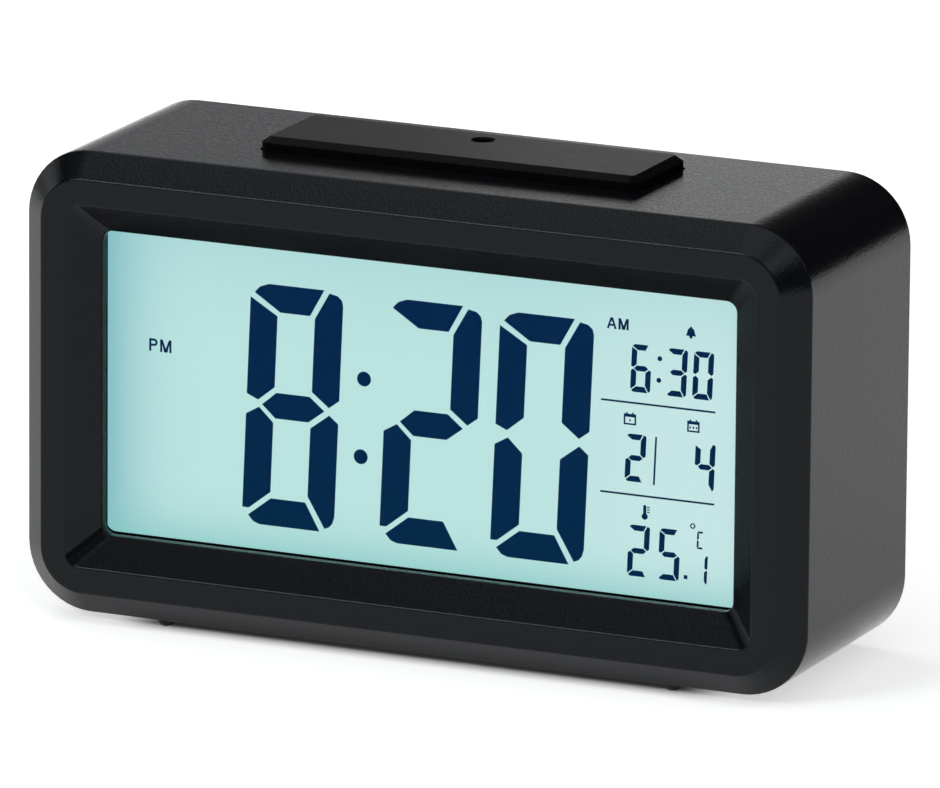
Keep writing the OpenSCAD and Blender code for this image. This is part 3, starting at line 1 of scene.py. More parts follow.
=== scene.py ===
# %% [markdown]
# # A black digital alarm clock
# The clock is a bar of black moulded plastic with a large lit display set deep in its front, a wide
# snooze bar on top, and buttons, switches and a battery door at the back. The engineering model gives
# every part its place and size. This script dresses that model: it rounds the edges that catch light,
# and it gives each part the finish of the real one.
#
# Everything is in metres in Blender, but a clock is easier to think about in millimetres, so sizes
# are written in millimetres and multiplied by MM.

# %% Load the engineering model
import math

import bmesh
import bpy
from mathutils import Matrix, Vector


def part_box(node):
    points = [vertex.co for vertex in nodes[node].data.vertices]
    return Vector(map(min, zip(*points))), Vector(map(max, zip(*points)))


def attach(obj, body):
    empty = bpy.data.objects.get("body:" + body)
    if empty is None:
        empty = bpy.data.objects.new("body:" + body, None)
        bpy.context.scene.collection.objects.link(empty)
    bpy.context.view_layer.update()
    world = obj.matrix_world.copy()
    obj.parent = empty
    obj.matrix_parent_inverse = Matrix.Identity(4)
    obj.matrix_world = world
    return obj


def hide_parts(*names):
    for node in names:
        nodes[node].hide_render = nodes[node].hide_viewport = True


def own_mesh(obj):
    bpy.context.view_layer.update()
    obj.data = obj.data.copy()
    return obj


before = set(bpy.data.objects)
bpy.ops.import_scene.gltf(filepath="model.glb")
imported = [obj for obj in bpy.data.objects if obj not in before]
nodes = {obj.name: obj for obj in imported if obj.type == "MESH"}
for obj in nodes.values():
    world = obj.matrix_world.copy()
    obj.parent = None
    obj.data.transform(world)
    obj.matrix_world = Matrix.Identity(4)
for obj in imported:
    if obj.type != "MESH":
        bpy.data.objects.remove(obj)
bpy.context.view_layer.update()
MM = 0.001
print("parts in the model:", len(nodes))

# %% [markdown]
# ## Places
# The housing is 43.6 mm deep, and its middle is at the world's origin, so a depth behind the front
# ring becomes a place along Y by taking half of the housing's depth away. Four feet lift the housing
# a little, so its middle is 39 mm above the table.

# %% Depths and heights
BODY_W = 135.0
BODY_H = 75.6
BODY_D = 43.6
BODY_MID = 39.0


def place(x, depth, height):
    """A point in metres from a place across, a depth behind the front ring and a height, in mm."""
    return Vector((x * MM, (depth - BODY_D / 2) * MM, height * MM))


print("front ring at y =", round(place(0, 0, 0).y, 4))

# %% [markdown]
# ## The camera
# The picture was taken from far away with a long lens, a little to the right of the clock and a
# little above it. The far edges are almost parallel in it, which is how one can tell. A camera is
# turned by giving it the three directions right, up and backward as the columns of its matrix.

# %% Camera
scene = bpy.context.scene


def new_object(name, data):
    """A new object in the scene, made round its data."""
    made = bpy.data.objects.new(name, data)
    scene.collection.objects.link(made)
    return made


turn = math.radians(24.219)
tilt = math.radians(14.198)
roll = math.radians(0.459)
distance = 2018.8
along_floor = math.cos(tilt)
forward = Vector((-math.sin(turn) * along_floor, math.cos(turn) * along_floor, -math.sin(tilt)))
level = Vector((math.cos(turn), math.sin(turn), 0))
upright = level.cross(forward)
right = level * math.cos(roll) + upright * math.sin(roll)
up = upright * math.cos(roll) - level * math.sin(roll)
aim = right * 10.289 + up * 5.008
camera_data = bpy.data.cameras.new("camera")
camera_data.sensor_width = 36
camera_data.lens = 492.87
camera_data.clip_end = 20
camera = new_object("camera", camera_data)
spot = place(aim.x, aim.y, aim.z + BODY_MID) - forward * distance * MM
turned = Matrix((right, up, -forward)).transposed().to_4x4()
camera.matrix_world = Matrix.Translation(spot) @ turned
scene.camera = camera
print("camera stands at", [round(v, 3) for v in spot])

# %% [markdown]
# ## The studio
# Black plastic shows what it mirrors more than its own colour. In the photo the clock's top mirrors a
# pale wall behind it, its right side mirrors the white floor, and the bend between them mirrors the
# darker room above the wall. So the surroundings are a sum of few bright shapes on black: the wall,
# a bright panel overhead, a dim ceiling, and three round softboxes that give the bevels their soft
# highlights. Each depends only on the direction in which one looks. Two large lamps light the floor,
# and a white card behind the clock at the left adds sheen to the faces that look up.

# %% Surroundings
scene.view_settings.view_transform = "Standard"
world = bpy.data.worlds.new("studio")
scene.world = world
world.use_nodes = True
sky = world.node_tree
sky_place = sky.nodes.new("ShaderNodeTexCoord")
gaze = sky.nodes.new("ShaderNodeSeparateXYZ")
sky.links.new(sky_place.outputs["Generated"], gaze.inputs[0])


def sky_sum(operation, first, second):
    """A Math node of the sky on two outputs."""
    made = sky.nodes.new("ShaderNodeMath")
    made.operation = operation
    sky.links.new(first, made.inputs[0])
    sky.links.new(second, made.inputs[1])
    return made.outputs[0]


def sky_fade(value, start, end, low, high):
    """A brightness that changes smoothly from low to high as an output goes from start to end."""
    made = sky.nodes.new("ShaderNodeMapRange")
    made.interpolation_type = "SMOOTHSTEP"
    sky.links.new(value, made.inputs["Value"])
    for socket, number in zip(made.inputs[1:5], (start, end, low, high)):
        socket.default_value = number
    return made.outputs[0]


def softbox(towards, inner, outer, brightness):
    """A round soft light far away, in one direction, between an inner and an outer angle."""
    dot = sky.nodes.new("ShaderNodeVectorMath")
    dot.operation = "DOT_PRODUCT"
    sky.links.new(sky_place.outputs["Generated"], dot.inputs[0])
    dot.inputs[1].default_value = Vector(towards).normalized()
    start = math.cos(math.radians(outer))
    end = math.cos(math.radians(inner))
    return sky_fade(dot.outputs["Value"], start, end, 0.0, brightness)


rise = gaze.outputs["Z"]
wall = sky_fade(rise, 0.255, 0.3, 0.48, 0.0)
wall = sky_sum("MULTIPLY", wall, sky_fade(gaze.outputs["X"], 0.0, 0.25, 1.0, 0.0))
overhead = sky_fade(rise, 0.83, 0.87, 0.0, 1.2)
overhead = sky_sum("MULTIPLY", overhead, sky_fade(gaze.outputs["Y"], -0.2, 0.0, 1.0, 0.0))
bright_shapes = [
    overhead,
    sky_fade(rise, 0.55, 0.8, 0.01, 0.22),
    softbox((-0.397, -0.72, 0.57), 8, 15, 6.0),
    softbox((-0.95, -0.05, 0.31), 6, 14, 1.2),
    softbox((0.484, -0.597, 0.636), 8, 18, 1.5),
]
light = wall
for shape in bright_shapes:
    light = sky_sum("ADD", light, shape)
sky.links.new(light, sky.nodes["Background"].inputs["Strength"])
sky.nodes["Background"].inputs["Color"].default_value = (0.96, 0.98, 1, 1)
print("bright shapes round the clock:", 1 + len(bright_shapes))

# %% Lamps


def lamp(name, across, depth, height, size, power, tall=None):
    """A soft lamp that points at the clock, square unless it is given another height."""
    light = bpy.data.lights.new(name, "AREA")
    light.shape = "RECTANGLE"
    light.size = size
    light.size_y = tall or size
    light.energy = power
    thing = new_object(name, light)
    thing.location = (across, depth, height)
    towards = Vector((0, 0, 0.04)) - thing.location
    thing.rotation_euler = towards.to_track_quat("-Z", "Y").to_euler()


lamp("right_lamp", 2.0, 0.2, 1.7, 1.6, 8)
lamp("left_lamp", -1.4, 1.0, 2.2, 1.6, 10)
lamp("white_card", -0.24, 1.0, 0.25, 0.38, 0.135, 0.3)

# %% [markdown]
# ## Shader sums in plain Python
# A material is a graph of nodes. Writing the graph as sums keeps it readable: a Wire holds one
# output socket, and adding or multiplying wires makes the Math nodes. Nearly all nodes come from one
# method, node, which takes the node's type, its settings and what goes into its sockets.

# %% Wires


class Wire:
    """One output socket of a finish. Sums of wires add Math nodes."""

    def __init__(self, finish, socket):
        self.finish = finish
        self.socket = socket

    def __add__(self, other):
        return self.finish.sum_of("ADD", self, other)

    def __radd__(self, other):
        return self.finish.sum_of("ADD", other, self)

    def __sub__(self, other):
        return self.finish.sum_of("SUBTRACT", self, other)

    def __rsub__(self, other):
        return self.finish.sum_of("SUBTRACT", other, self)

    def __mul__(self, other):
        return self.finish.sum_of("MULTIPLY", self, other)

    def __rmul__(self, other):
        return self.finish.sum_of("MULTIPLY", other, self)

    def __pow__(self, other):
        return self.finish.sum_of("POWER", self, other)

    def __gt__(self, other):
        return self.finish.sum_of("GREATER_THAN", self, other)

    def __lt__(self, other):
        return self.finish.sum_of("LESS_THAN", self, other)

    def __abs__(self):
        return self.finish.sum_of("ABSOLUTE", self)


print("wires ready")

# %% Finishes


class Finish:
    """A material being built round one Principled shader."""

    def __init__(self, name):
        self.material = bpy.data.materials.new(name)
        self.material.use_nodes = True
        self.tree = self.material.node_tree
        self.skin = self.tree.nodes["Principled BSDF"]

    def node(self, kind, settings=None, sockets=None, out=0):
        """Adds a node, sets it up, fills its sockets and returns one of its outputs."""
        made = self.tree.nodes.new(kind)
        for name, value in (settings or {}).items():
            setattr(made, name, value)
        for name, value in (sockets or {}).items():
            self._fill(made.inputs[name], value)
        return Wire(self, made.outputs[out])

    def _fill(self, socket, value):
        if isinstance(value, Wire):
            self.tree.links.new(value.socket, socket)
        elif isinstance(value, tuple) and socket.type == "RGBA":
            socket.default_value = (*value, 1)
        else:
            socket.default_value = value

    def set(self, **sockets):
        """Fills sockets of the Principled shader. base_color means Base Color, and so on."""
        for name, value in sockets.items():
            words = {"ior": "IOR", "specular": "Specular IOR Level"}
            label = words.get(name, name.replace("_", " ").title())
            self._fill(self.skin.inputs[label], value)
        return self

    def spot(self, turn=(0, 0, 0), stretch=(1, 1, 1)):
        """Object coordinates in millimetres, turned and stretched."""
        where = self.node("ShaderNodeTexCoord", None, None, "Object")
        scale = tuple(v / MM for v in stretch)
        return self.node("ShaderNodeMapping", None, {"Vector": where, "Rotation": turn, "Scale": scale})

    def axes(self):
        """The place in millimetres as three wires: across, depth and height."""
        split = self.tree.nodes.new("ShaderNodeSeparateXYZ")
        self._fill(split.inputs[0], self.spot())
        return [Wire(self, socket) for socket in split.outputs]

    def upward(self):
        """1 where the surface faces straight up, 0 where it is upright."""
        split = self.tree.nodes.new("ShaderNodeSeparateXYZ")
        self._fill(split.inputs[0], self.node("ShaderNodeNewGeometry", None, None, "Normal"))
        return Wire(self, split.outputs["Z"])

    def noise(self, scale, detail=2.0, roughness=0.5, where=None):
        """Soft cloudy noise from 0 to 1, with its scale in features per millimetre."""
        sockets = {"Vector": where or self.spot(), "Scale": scale}
        sockets.update({"Detail": detail, "Roughness": roughness})
        return self.node("ShaderNodeTexNoise", None, sockets, "Fac")

    def mix(self, amount, first, second):
        """A colour between two colours."""
        sockets = {"Factor": amount, 6: first, 7: second}
        return self.node("ShaderNodeMix", {"data_type": "RGBA"}, sockets, 2)

    def fade(self, value, start, end, low=0.0, high=1.0):
        """A number that goes smoothly from low to high as value goes from start to end."""
        settings = {"interpolation_type": "SMOOTHSTEP"}
        sockets = {"Value": value, 1: start, 2: end, 3: low, 4: high}
        return self.node("ShaderNodeMapRange", settings, sockets)

    def ramp(self, value, start, end):
        """A number that goes evenly from 0 to 1 as value goes from start to end."""
        return self.node("ShaderNodeMapRange", None, {"Value": value, 1: start, 2: end})

    def sum_of(self, operation, first, second=0.0):
        """A Math node on one or two values."""
        return self.node("ShaderNodeMath", {"operation": operation}, {0: first, 1: second})

    def stripe(self, value, pitch, width):
        """1 on lines of a width that repeat every pitch along value, and 0 between them."""
        return self.sum_of("PINGPONG", value, pitch / 2) < width / 2

    def bump(self, height, strength, depth):
        """A normal from a height, with its depth in millimetres."""
        sockets = {"Height": height, "Strength": strength, "Distance": depth * MM}
        return self.node("ShaderNodeBump", None, sockets)


print("finishes ready")

# %% Paint
painted = set()


def paint(finish, *things):
    """Puts a finish on CAD nodes, given by name, or on pieces."""
    for thing in things:
        piece = nodes[thing] if isinstance(thing, str) else thing
        piece.data.materials.clear()
        piece.data.materials.append(finish.material)
        painted.add(piece.name)


print("paint ready")

# %% [markdown]
# ## Black moulded plastic
# The housing is spark-textured ABS. The tool steel of its mould was etched by sparks, which leaves
# a fine random grain all over. It is black, slightly cool, and satin: light that grazes it spreads.
# A little cloudiness in the roughness and a few faint handling marks keep it from looking drawn. On
# the top, which is seen at a flat angle, the facets of the grain glint one by one. A coat whose
# weight changes from facet to facet gives them that, and the other walls get an even, weak coat.

# %% Black plastics


def black_plastic(name, colour, roughness, grain, grain_depth, specular=0.3, glint=0.2):
    """Moulded black plastic. grain is its features per mm, and glint is the strength of its facets."""
    finish = Finish(name)
    fine = finish.noise(grain, 3, 0.6)
    coarse = finish.noise(0.05, 2, 0.5)
    rub = finish.noise(0.25, 4, 0.7, finish.spot((0.3, 0.2, 0.5), (1, 3, 1)))
    deep = tuple(0.8 * c for c in colour)
    pale = tuple(1.25 * c for c in colour)
    shade = finish.mix(coarse * 0.6 + fine * 0.4, deep, pale)
    gloss = roughness + (fine - 0.5) * 0.16 + (rub - 0.5) * 0.08
    facets = finish.noise(grain, 3, 0.7, finish.spot((0, 0, 0), (1, 0.25, 1)))
    on_top = finish.fade(finish.upward(), 0.8, 0.99)
    sparkle = finish.fade(facets, 0.5, 0.6, 0.0, 3.2 * glint) * on_top
    sparkle = sparkle + (1 - on_top) * glint * fine
    finish.set(base_color=shade, roughness=gloss, specular=specular)
    finish.set(coat_weight=sparkle, coat_roughness=0.2, specular_tint=(0.88, 0.95, 1.0))
    wave = finish.noise(0.55 * grain, 3, 0.6, finish.spot((0, 0, 0), (1, 0.5, 1)))
    finish.set(normal=finish.bump(wave, 1.0, grain_depth))
    return finish


housing_black = black_plastic("housing_black", (0.0036, 0.004, 0.005), 0.15, 4.0, 0.04, 0.15, 0.1)
cover_black = black_plastic("cover_black", (0.005, 0.005, 0.0055), 0.36, 2.6, 0.02, 0.25)
bar_black = black_plastic("bar_black", (0.003, 0.003, 0.003), 0.22, 3.2, 0.004, 0.03, 0.02)
button_black = black_plastic("button_black", (0.006, 0.006, 0.006), 0.3, 3.0, 0.006)
print("black plastics:", [f.material.name for f in (housing_black, cover_black, bar_black, button_black)])

# %% [markdown]
# ## Modelling by hoops
# Most plastic parts here are lofts: a row of rounded outlines, each a little larger, smaller or
# deeper than the last. An outline starts as a plane stretched to its size, its four corners are
# bevelled round, and its face is deleted. Bridging the outlines one after another makes the walls.

# %% Outlines
ARC = 12
HOOP = 4 * (ARC + 1)
ROUND = 48


def begin(name):
    """Opens an empty piece in edit mode. Its origin is the world's origin."""
    bpy.ops.object.select_all(action="DESELECT")
    piece = new_object(name, bpy.data.meshes.new(name))
    bpy.context.view_layer.objects.active = piece
    piece.select_set(True)
    bpy.ops.object.mode_set(mode="EDIT")
    bpy.ops.mesh.select_mode(type="VERT")
    return piece


def hoop(width, height, radius, middle, facing="front"):
    """Adds a rounded outline round a middle point in metres. It faces the front or the top."""
    bpy.ops.mesh.select_all(action="DESELECT")
    lean = math.radians(90) if facing == "front" else 0
    grow = (width, 1, height) if facing == "front" else (width, height, 1)
    bpy.ops.mesh.primitive_plane_add(size=MM, location=middle, rotation=(lean, 0, 0))
    bpy.ops.transform.resize(value=grow, center_override=middle)
    bpy.ops.mesh.bevel(offset=radius * MM, segments=ARC, profile=0.5, affect="VERTICES")
    bpy.ops.mesh.delete(type="ONLY_FACE")


def disc(radius, middle, facing="front", count=ROUND):
    """Adds a circle round a middle point in metres."""
    bpy.ops.mesh.select_all(action="DESELECT")
    lean = math.radians(90) if facing == "front" else 0
    bpy.ops.mesh.primitive_circle_add(
        vertices=count, radius=radius * MM, location=middle, rotation=(lean, 0, 0)
    )


print("points in a hoop:", HOOP)

# %% Walls between outlines


def choose(piece, test):
    """Selects the vertices for which a test on the vertex is true, with the edges between them."""
    bpy.ops.mesh.select_all(action="DESELECT")
    form = bmesh.from_edit_mesh(piece.data)
    form.verts.ensure_lookup_table()
    for vert in form.verts:
        vert.select = bool(test(vert))
    form.select_flush(True)
    bmesh.update_edit_mesh(piece.data)


def bridge(piece, first, last, count, closed=False):
    """Bridges the outlines from number first to number last, which have count vertices each."""
    pairs = [(k, k + 1) for k in range(first, last)]
    if closed:
        pairs.append((last, first))
    for a, b in pairs:
        choose(piece, lambda v: v.index // count in (a, b))
        bpy.ops.mesh.bridge_edge_loops()


def cap(piece, number, count):
    """Closes an outline with one face."""
    choose(piece, lambda v: v.index // count == number)
    bpy.ops.mesh.edge_face_add()


def finish_form():
    """Turns all faces outward and goes back to object mode."""
    bpy.ops.mesh.select_all(action="SELECT")
    bpy.ops.mesh.remove_doubles(threshold=0.00001 * MM)
    bpy.ops.mesh.normals_make_consistent(inside=False)
    bpy.ops.object.mode_set(mode="OBJECT")


def close_form(piece, outlines, count):
    """Joins all outlines with walls, puts a face on the first and the last, and finishes the form."""
    bridge(piece, 0, outlines - 1, count)
    cap(piece, 0, count)
    cap(piece, outlines - 1, count)
    finish_form()


print("lofts ready")

# %% [markdown]
# ## Edges, shading and cuts
# No moulded edge is sharp, and its small round catches the light, so each piece gets a fine bevel
# along its sharp edges. Smooth shading then has to leave the flat walls flat, which weighted normals
# do: a large face counts more than a narrow bevel. Holes are closed forms that a Boolean cuts out.

# %% Edges, shading and cuts


def activate(piece):
    """Makes one piece the only selected and active one."""
    bpy.ops.object.select_all(action="DESELECT")
    piece.select_set(True)
    bpy.context.view_layer.objects.active = piece


def soften(piece, width, angle=25, segments=3):
    """Rounds the edges that are sharper than an angle."""
    activate(piece)
    change = piece.modifiers.new("soft_edges", "BEVEL")
    change.width = width * MM
    change.segments = segments
    change.limit_method = "ANGLE"
    change.angle_limit = math.radians(angle)
    change.use_clamp_overlap = True
    bpy.ops.object.modifier_apply(modifier=change.name)


def smooth(piece):
    """Smooths the shading. Large faces keep their own direction, so that flat walls look flat."""
    activate(piece)
    bpy.ops.object.shade_smooth_by_angle(angle=math.radians(35))
    change = piece.modifiers.new("flat_walls", "WEIGHTED_NORMAL")
    change.keep_sharp = True
    change.weight = 100
    bpy.ops.object.modifier_apply(modifier=change.name)


def cut(piece, cutter, operation="DIFFERENCE"):
    """Cuts a closed form out of a piece and deletes the cutter."""
    activate(piece)
    change = piece.modifiers.new("cut", "BOOLEAN")
    change.operation = operation
    change.object = cutter
    change.solver = "EXACT"
    bpy.ops.object.modifier_apply(modifier=change.name)
    bpy.data.objects.remove(cutter)


def dress(piece, finish, body, slot, *replaced):
    """Paints a finished piece, fixes it to a body and lets it stand for CAD nodes."""
    paint(finish, piece, *replaced)
    if replaced:
        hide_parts(*replaced)
    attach(piece, body)


print("edges and cuts ready")

# %% [markdown]
# ## The housing
# The housing is one moulding, open at the back. Seen in section it is a ribbon that runs from the
# edge of the display up the sloped frame, round the flat ring, over the front bevel, back along the
# outer wall and home again on the inside. Each bend of the ribbon is one outline, given here as an
# inset from the outer wall, a depth and a corner radius.

# %% Housing
ribbon = [
    (12.85, 5.7, 1.8),
    (12.85, 4.0, 1.8),
    (8.1, 0.02, 2.4),
    (4.0, 0.0, 7.0),
    (0.0, 3.7, 11.0),
    (0.0, 43.6, 11.0),
    (2.2, 43.58, 8.8),
    (2.2, 5.9, 8.8),
    (6.2, 2.2, 4.8),
    (7.6, 2.22, 3.6),
    (9.5, 3.9, 3.6),
    (9.5, 6.7, 3.6),
    (11.2, 6.68, 2.2),
    (11.2, 5.72, 2.2),
]
housing = begin("housing")
for inset, depth, radius in ribbon:
    hoop(BODY_W - 2 * inset, BODY_H - 2 * inset, radius, place(0, depth, BODY_MID))
bridge(housing, 0, len(ribbon) - 1, HOOP, closed=True)
finish_form()
soften(housing, 0.25)
print("housing faces:", len(housing.data.polygons))

# %% Opening for the snooze bar
BAR_DEPTH = 25.1
opening = begin("bar_opening")
for height in (70.0, 80.0):
    hoop(66.3, 19.9, 2.3, place(0, BAR_DEPTH, height), "top")
close_form(opening, 2, HOOP)
cut(housing, opening)
smooth(housing)
dress(housing, housing_black, "clock", "housing", "front_housing")
print("housing faces with the opening:", len(housing.data.polygons))

# %% [markdown]
# ## The snooze bar
# The bar is a shallow cap with a narrow bevel round its top and a thin skirt that dives into the
# housing. A flange at the foot of the skirt keeps it from falling out. Under its roof two pads reach
# down to the switches, and two pegs hold the springs. A small hole near the rear edge lets a light
# sensor see the room, and a tiny chamfer makes its edge catch the light.

# %% Snooze bar
BAR_W = 65.7
BAR_D = 19.3
BAR_TOP = 79.0
bar_ribbon = [
    (1.6, 77.4, 0.6),
    (1.6, 73.02, 0.6),
    (-1.0, 73.0, 3.0),
    (-1.0, 74.3, 3.0),
    (0.0, 74.28, 2.0),
    (0.0, 78.15, 2.0),
    (1.35, BAR_TOP, 0.7),
]
bar = begin("bar")
for inset, height, radius in bar_ribbon:
    hoop(BAR_W - 2 * inset, BAR_D - 2 * inset, radius, place(0, BAR_DEPTH, height), "top")
close_form(bar, len(bar_ribbon), HOOP)
print("bar faces:", len(bar.data.polygons))

# %% Pads, pegs and sensor hole
SENSOR = (0, 29.2)
PAD_X = 20
SPRING_X = 28.0


def post(name, x, depth, profile):
    """A closed upright round form. The profile lists its radius and height from end to end."""
    piece = begin(name)
    for radius, height in profile:
        disc(radius, place(x, depth, height), "top")
    close_form(piece, len(profile), ROUND)
    return piece


for side in (-1, 1):
    cut(bar, post("pad", side * PAD_X, BAR_DEPTH, [(2.4, 71.42), (2.4, 78.2)]), "UNION")
    cut(bar, post("peg", side * SPRING_X, BAR_DEPTH, [(1.5, 76.2), (1.5, 78.2)]), "UNION")
soften(bar, 0.22)
cut(bar, post("sensor_hole", *SENSOR, [(1.7, 70.0), (1.7, BAR_TOP - 0.3), (2.15, BAR_TOP + 0.15)]))
smooth(bar)
dress(bar, bar_black, "snooze", "bar", "snooze_bar")
print("bar faces with the hole:", len(bar.data.polygons))

# %% [markdown]
# ## The springs under the bar
# A compression spring is a wire wound into a coil. Its first and last turns are wound tight, so that
# it stands straight, and the turns between them do the work. The wire is a curve with a round bevel,
# made a mesh. The two springs are fixed to the clock body, together with the housing.

# %% Snooze springs
COIL_R = 2.0
COIL_LOW = 67.65
COIL_HIGH = 77.15
WIRE_R = 0.25
TURNS = 6
STEPS = 24
TIGHT_PITCH = 2 * WIRE_R
OPEN_PITCH = (COIL_HIGH - COIL_LOW - 2 * TIGHT_PITCH) / (TURNS - 2)


def coil(x):
    """One spring as a closed mesh."""
    path = bpy.data.curves.new("coil", "CURVE")
    path.dimensions = "3D"
    path.bevel_depth = WIRE_R * MM
    path.bevel_resolution = 2
    path.use_fill_caps = True
    line = path.splines.new("POLY")
    line.points.add(TURNS * STEPS)
    for k, point in enumerate(line.points):
        turn = k / STEPS
        open_turns = min(max(turn - 1, 0), TURNS - 2)
        rise = TIGHT_PITCH * (turn - open_turns) + OPEN_PITCH * open_turns
        angle = 2 * math.pi * turn
        centre = place(x, BAR_DEPTH, COIL_LOW + rise)
        point.co = (*(centre + Vector((math.cos(angle), math.sin(angle), 0)) * COIL_R * MM), 1)
    piece = new_object("coil", path)
    activate(piece)
    bpy.ops.object.convert(target="MESH")
    return bpy.context.active_object


def join(pieces, name):
    """Makes several pieces one, with a name of its own."""
    bpy.ops.object.select_all(action="DESELECT")
    for piece in pieces:
        piece.select_set(True)
    bpy.context.view_layer.objects.active = pieces[0]
    bpy.ops.object.join()
    pieces[0].name = name
    return pieces[0]


springs = join([coil(-SPRING_X), coil(SPRING_X)], "return_springs")
bpy.ops.object.mode_set(mode="EDIT")
finish_form()
bpy.ops.object.shade_smooth_by_angle(angle=math.radians(50))
print("faces in the springs:", len(springs.data.polygons))

# %% [markdown]
# ## The rear cover
# The cover is a plate that lies a little inside the rear rim of the housing. It carries the battery
# box, deep cups for four screws, and holes for five buttons, two slide switches, the buzzer and the
# air that reaches the temperature sensor. The plate and its box are two lofts joined into one. Each
# hole is a closed form that is cut out of it. The edges are rounded once the large holes are there,
# because a bevel can be no wider than the shortest edge near it, and the small holes have short
# ones. The flanges of the buttons, the slide knobs and the door's hooks all lie just inside it.

# %% Cover plate and battery box
COVER_FRONT = 39.2
COVER_REAR = 41.6
BOX_MID = 25.2
IN_PLATE = 40.0
FLANGE_FRONT = 37.8
FLANGE_REAR = 38.9
BEFORE_FRONT = 38.0
PAST_REAR = 43.0


def slab(name, width, height, radius, start, end, x=0.0, z=BODY_MID):
    """A closed plate with round corners between two depths."""
    piece = begin(name)
    for depth in (start, end):
        hoop(width, height, radius, place(x, depth, z))
    close_form(piece, 2, HOOP)
    return piece


def drum(name, x, z, profile):
    """A closed round form along the depth. The profile lists its radius and depth from end to end."""
    piece = begin(name)
    for radius, depth in profile:
        disc(radius, place(x, depth, z))
    close_form(piece, len(profile), ROUND)
    return piece


cover = slab("rear_shell", 130.3, 70.9, 8.65, COVER_FRONT, COVER_REAR)
cut(cover, slab("box_walls", 52.6, 36.4, 1.5, 27.95, IN_PLATE, 0, BOX_MID), "UNION")
SCREWS = [(sx * 60.04, BODY_MID + sz * 30.34) for sx in (-1, 1) for sz in (-1, 1)]
for x, z in SCREWS:
    cut(cover, drum("cup", x, z, [(4.3, 37.7), (4.3, IN_PLATE)]), "UNION")
print("cover faces:", len(cover.data.polygons))

# %% Holes in the cover
SEAT = 40.2
KEY_Z = 58.5
BUTTON_X = [-30.0, -15.0, 0.0, 15.0, 30.0]
SWITCH_X = 49
TAB_X = 15
BUZZER_X = 46
BUZZER_Z = 24


def merge(piece, gap=0.005):
    """Merges points that lie closer than a gap in mm, which cuts can leave behind."""
    activate(piece)
    bpy.ops.object.mode_set(mode="EDIT")
    bpy.ops.mesh.select_all(action="SELECT")
    bpy.ops.mesh.remove_doubles(threshold=gap * MM)
    bpy.ops.object.mode_set(mode="OBJECT")


cut(cover, slab("door_seat", 52.8, 36.6, 1.5, SEAT, PAST_REAR, 0, BOX_MID))
for x, z in SCREWS:
    cut(cover, drum("cup_bore", x, z, [(3.0, 38.9), (3.0, PAST_REAR)]))
for x in BUTTON_X:
    cut(cover, drum("button_hole", x, KEY_Z, [(3.95, BEFORE_FRONT), (3.95, PAST_REAR)]))
merge(cover)
soften(cover, 0.15, 40, 2)
cut(cover, slab("box_space", 49.8, 33.6, 0.3, 29.35, PAST_REAR, 0, BOX_MID))
for x, z in SCREWS:
    cut(cover, drum("screw_hole", x, z, [(1.55, 36.0), (1.55, IN_PLATE)]))
for side in (-1, 1):
    cut(cover, slab("switch_slot", 8.2, 4.2, 0.4, BEFORE_FRONT, PAST_REAR, side * SWITCH_X, KEY_Z))
for i in range(7):
    reach = 3.6 if i else 0
    x = BUZZER_X + reach * math.cos(math.radians(60 * i))
    z = BUZZER_Z + reach * math.sin(math.radians(60 * i))
    cut(cover, drum("sound_hole", x, z, [(0.8, BEFORE_FRONT), (0.8, PAST_REAR)]))
for i in range(4):
    cut(cover, slab("vent", 12, 1.4, 0.6, BEFORE_FRONT, PAST_REAR, -44, 46 - 3 * i))
for x in (-TAB_X, TAB_X):
    cut(cover, slab("tab_notch", 6.6, 3.4, 0.2, 36.0, COVER_FRONT, x, 7.7))
merge(cover)
smooth(cover)
dress(cover, cover_black, "clock", "rear_shell", "rear_cover")
print("cover faces with its holes:", len(cover.data.polygons))

# %% [markdown]
# ## Marks on the back
# Small pale marks tell what each button does: a clock face, a bell, two arrows and a thermometer.
# The slide switches have a lamp and a bell, and say ON and OFF. A pad print is a film of paint, but
# a raised mark catches light and stays sharp from near, so each is a low closed form here. They are
# kept in one piece. The thermometer's bulb is a little higher than its tube, so their faces don't
# lie in one plane.

# %% Round and straight marks
MARK_LOW = COVER_REAR - 0.1
MARK_HIGH = COVER_REAR + 0.15
MARK_Z = 65.2
marks = []


def dot(x, z, radius, count=24, top=MARK_HIGH):
    """A low round mark."""
    piece = begin("dot")
    for depth in (MARK_LOW, top):
        disc(radius, place(x, depth, z), "front", count)
    close_form(piece, 2, count)
    marks.append(piece)
    return piece


def bell_mark(x, z):
    """A low bell: a dot whose lower half is pulled down and spread, with a clapper under it."""
    piece = dot(x, z + 0.5, 0.85)
    activate(piece)
    bpy.ops.object.mode_set(mode="EDIT")
    choose(piece, lambda v: v.co.z < (z + 0.45) * MM)
    bpy.ops.transform.resize(value=(1.55, 1, 0.1), center_override=place(x, MARK_HIGH, z + 0.5))
    bpy.ops.transform.translate(value=(0, 0, -1.3 * MM))
    finish_form()
    dot(x, z - 1.35, 0.3)


def bar_mark(x, z, width, height):
    """A low mark with straight sides and small round corners."""
    marks.append(slab("bar_mark", width, height, 0.12, MARK_LOW, MARK_HIGH, x, z))


print("round and straight marks ready")

# %% Arrows and words


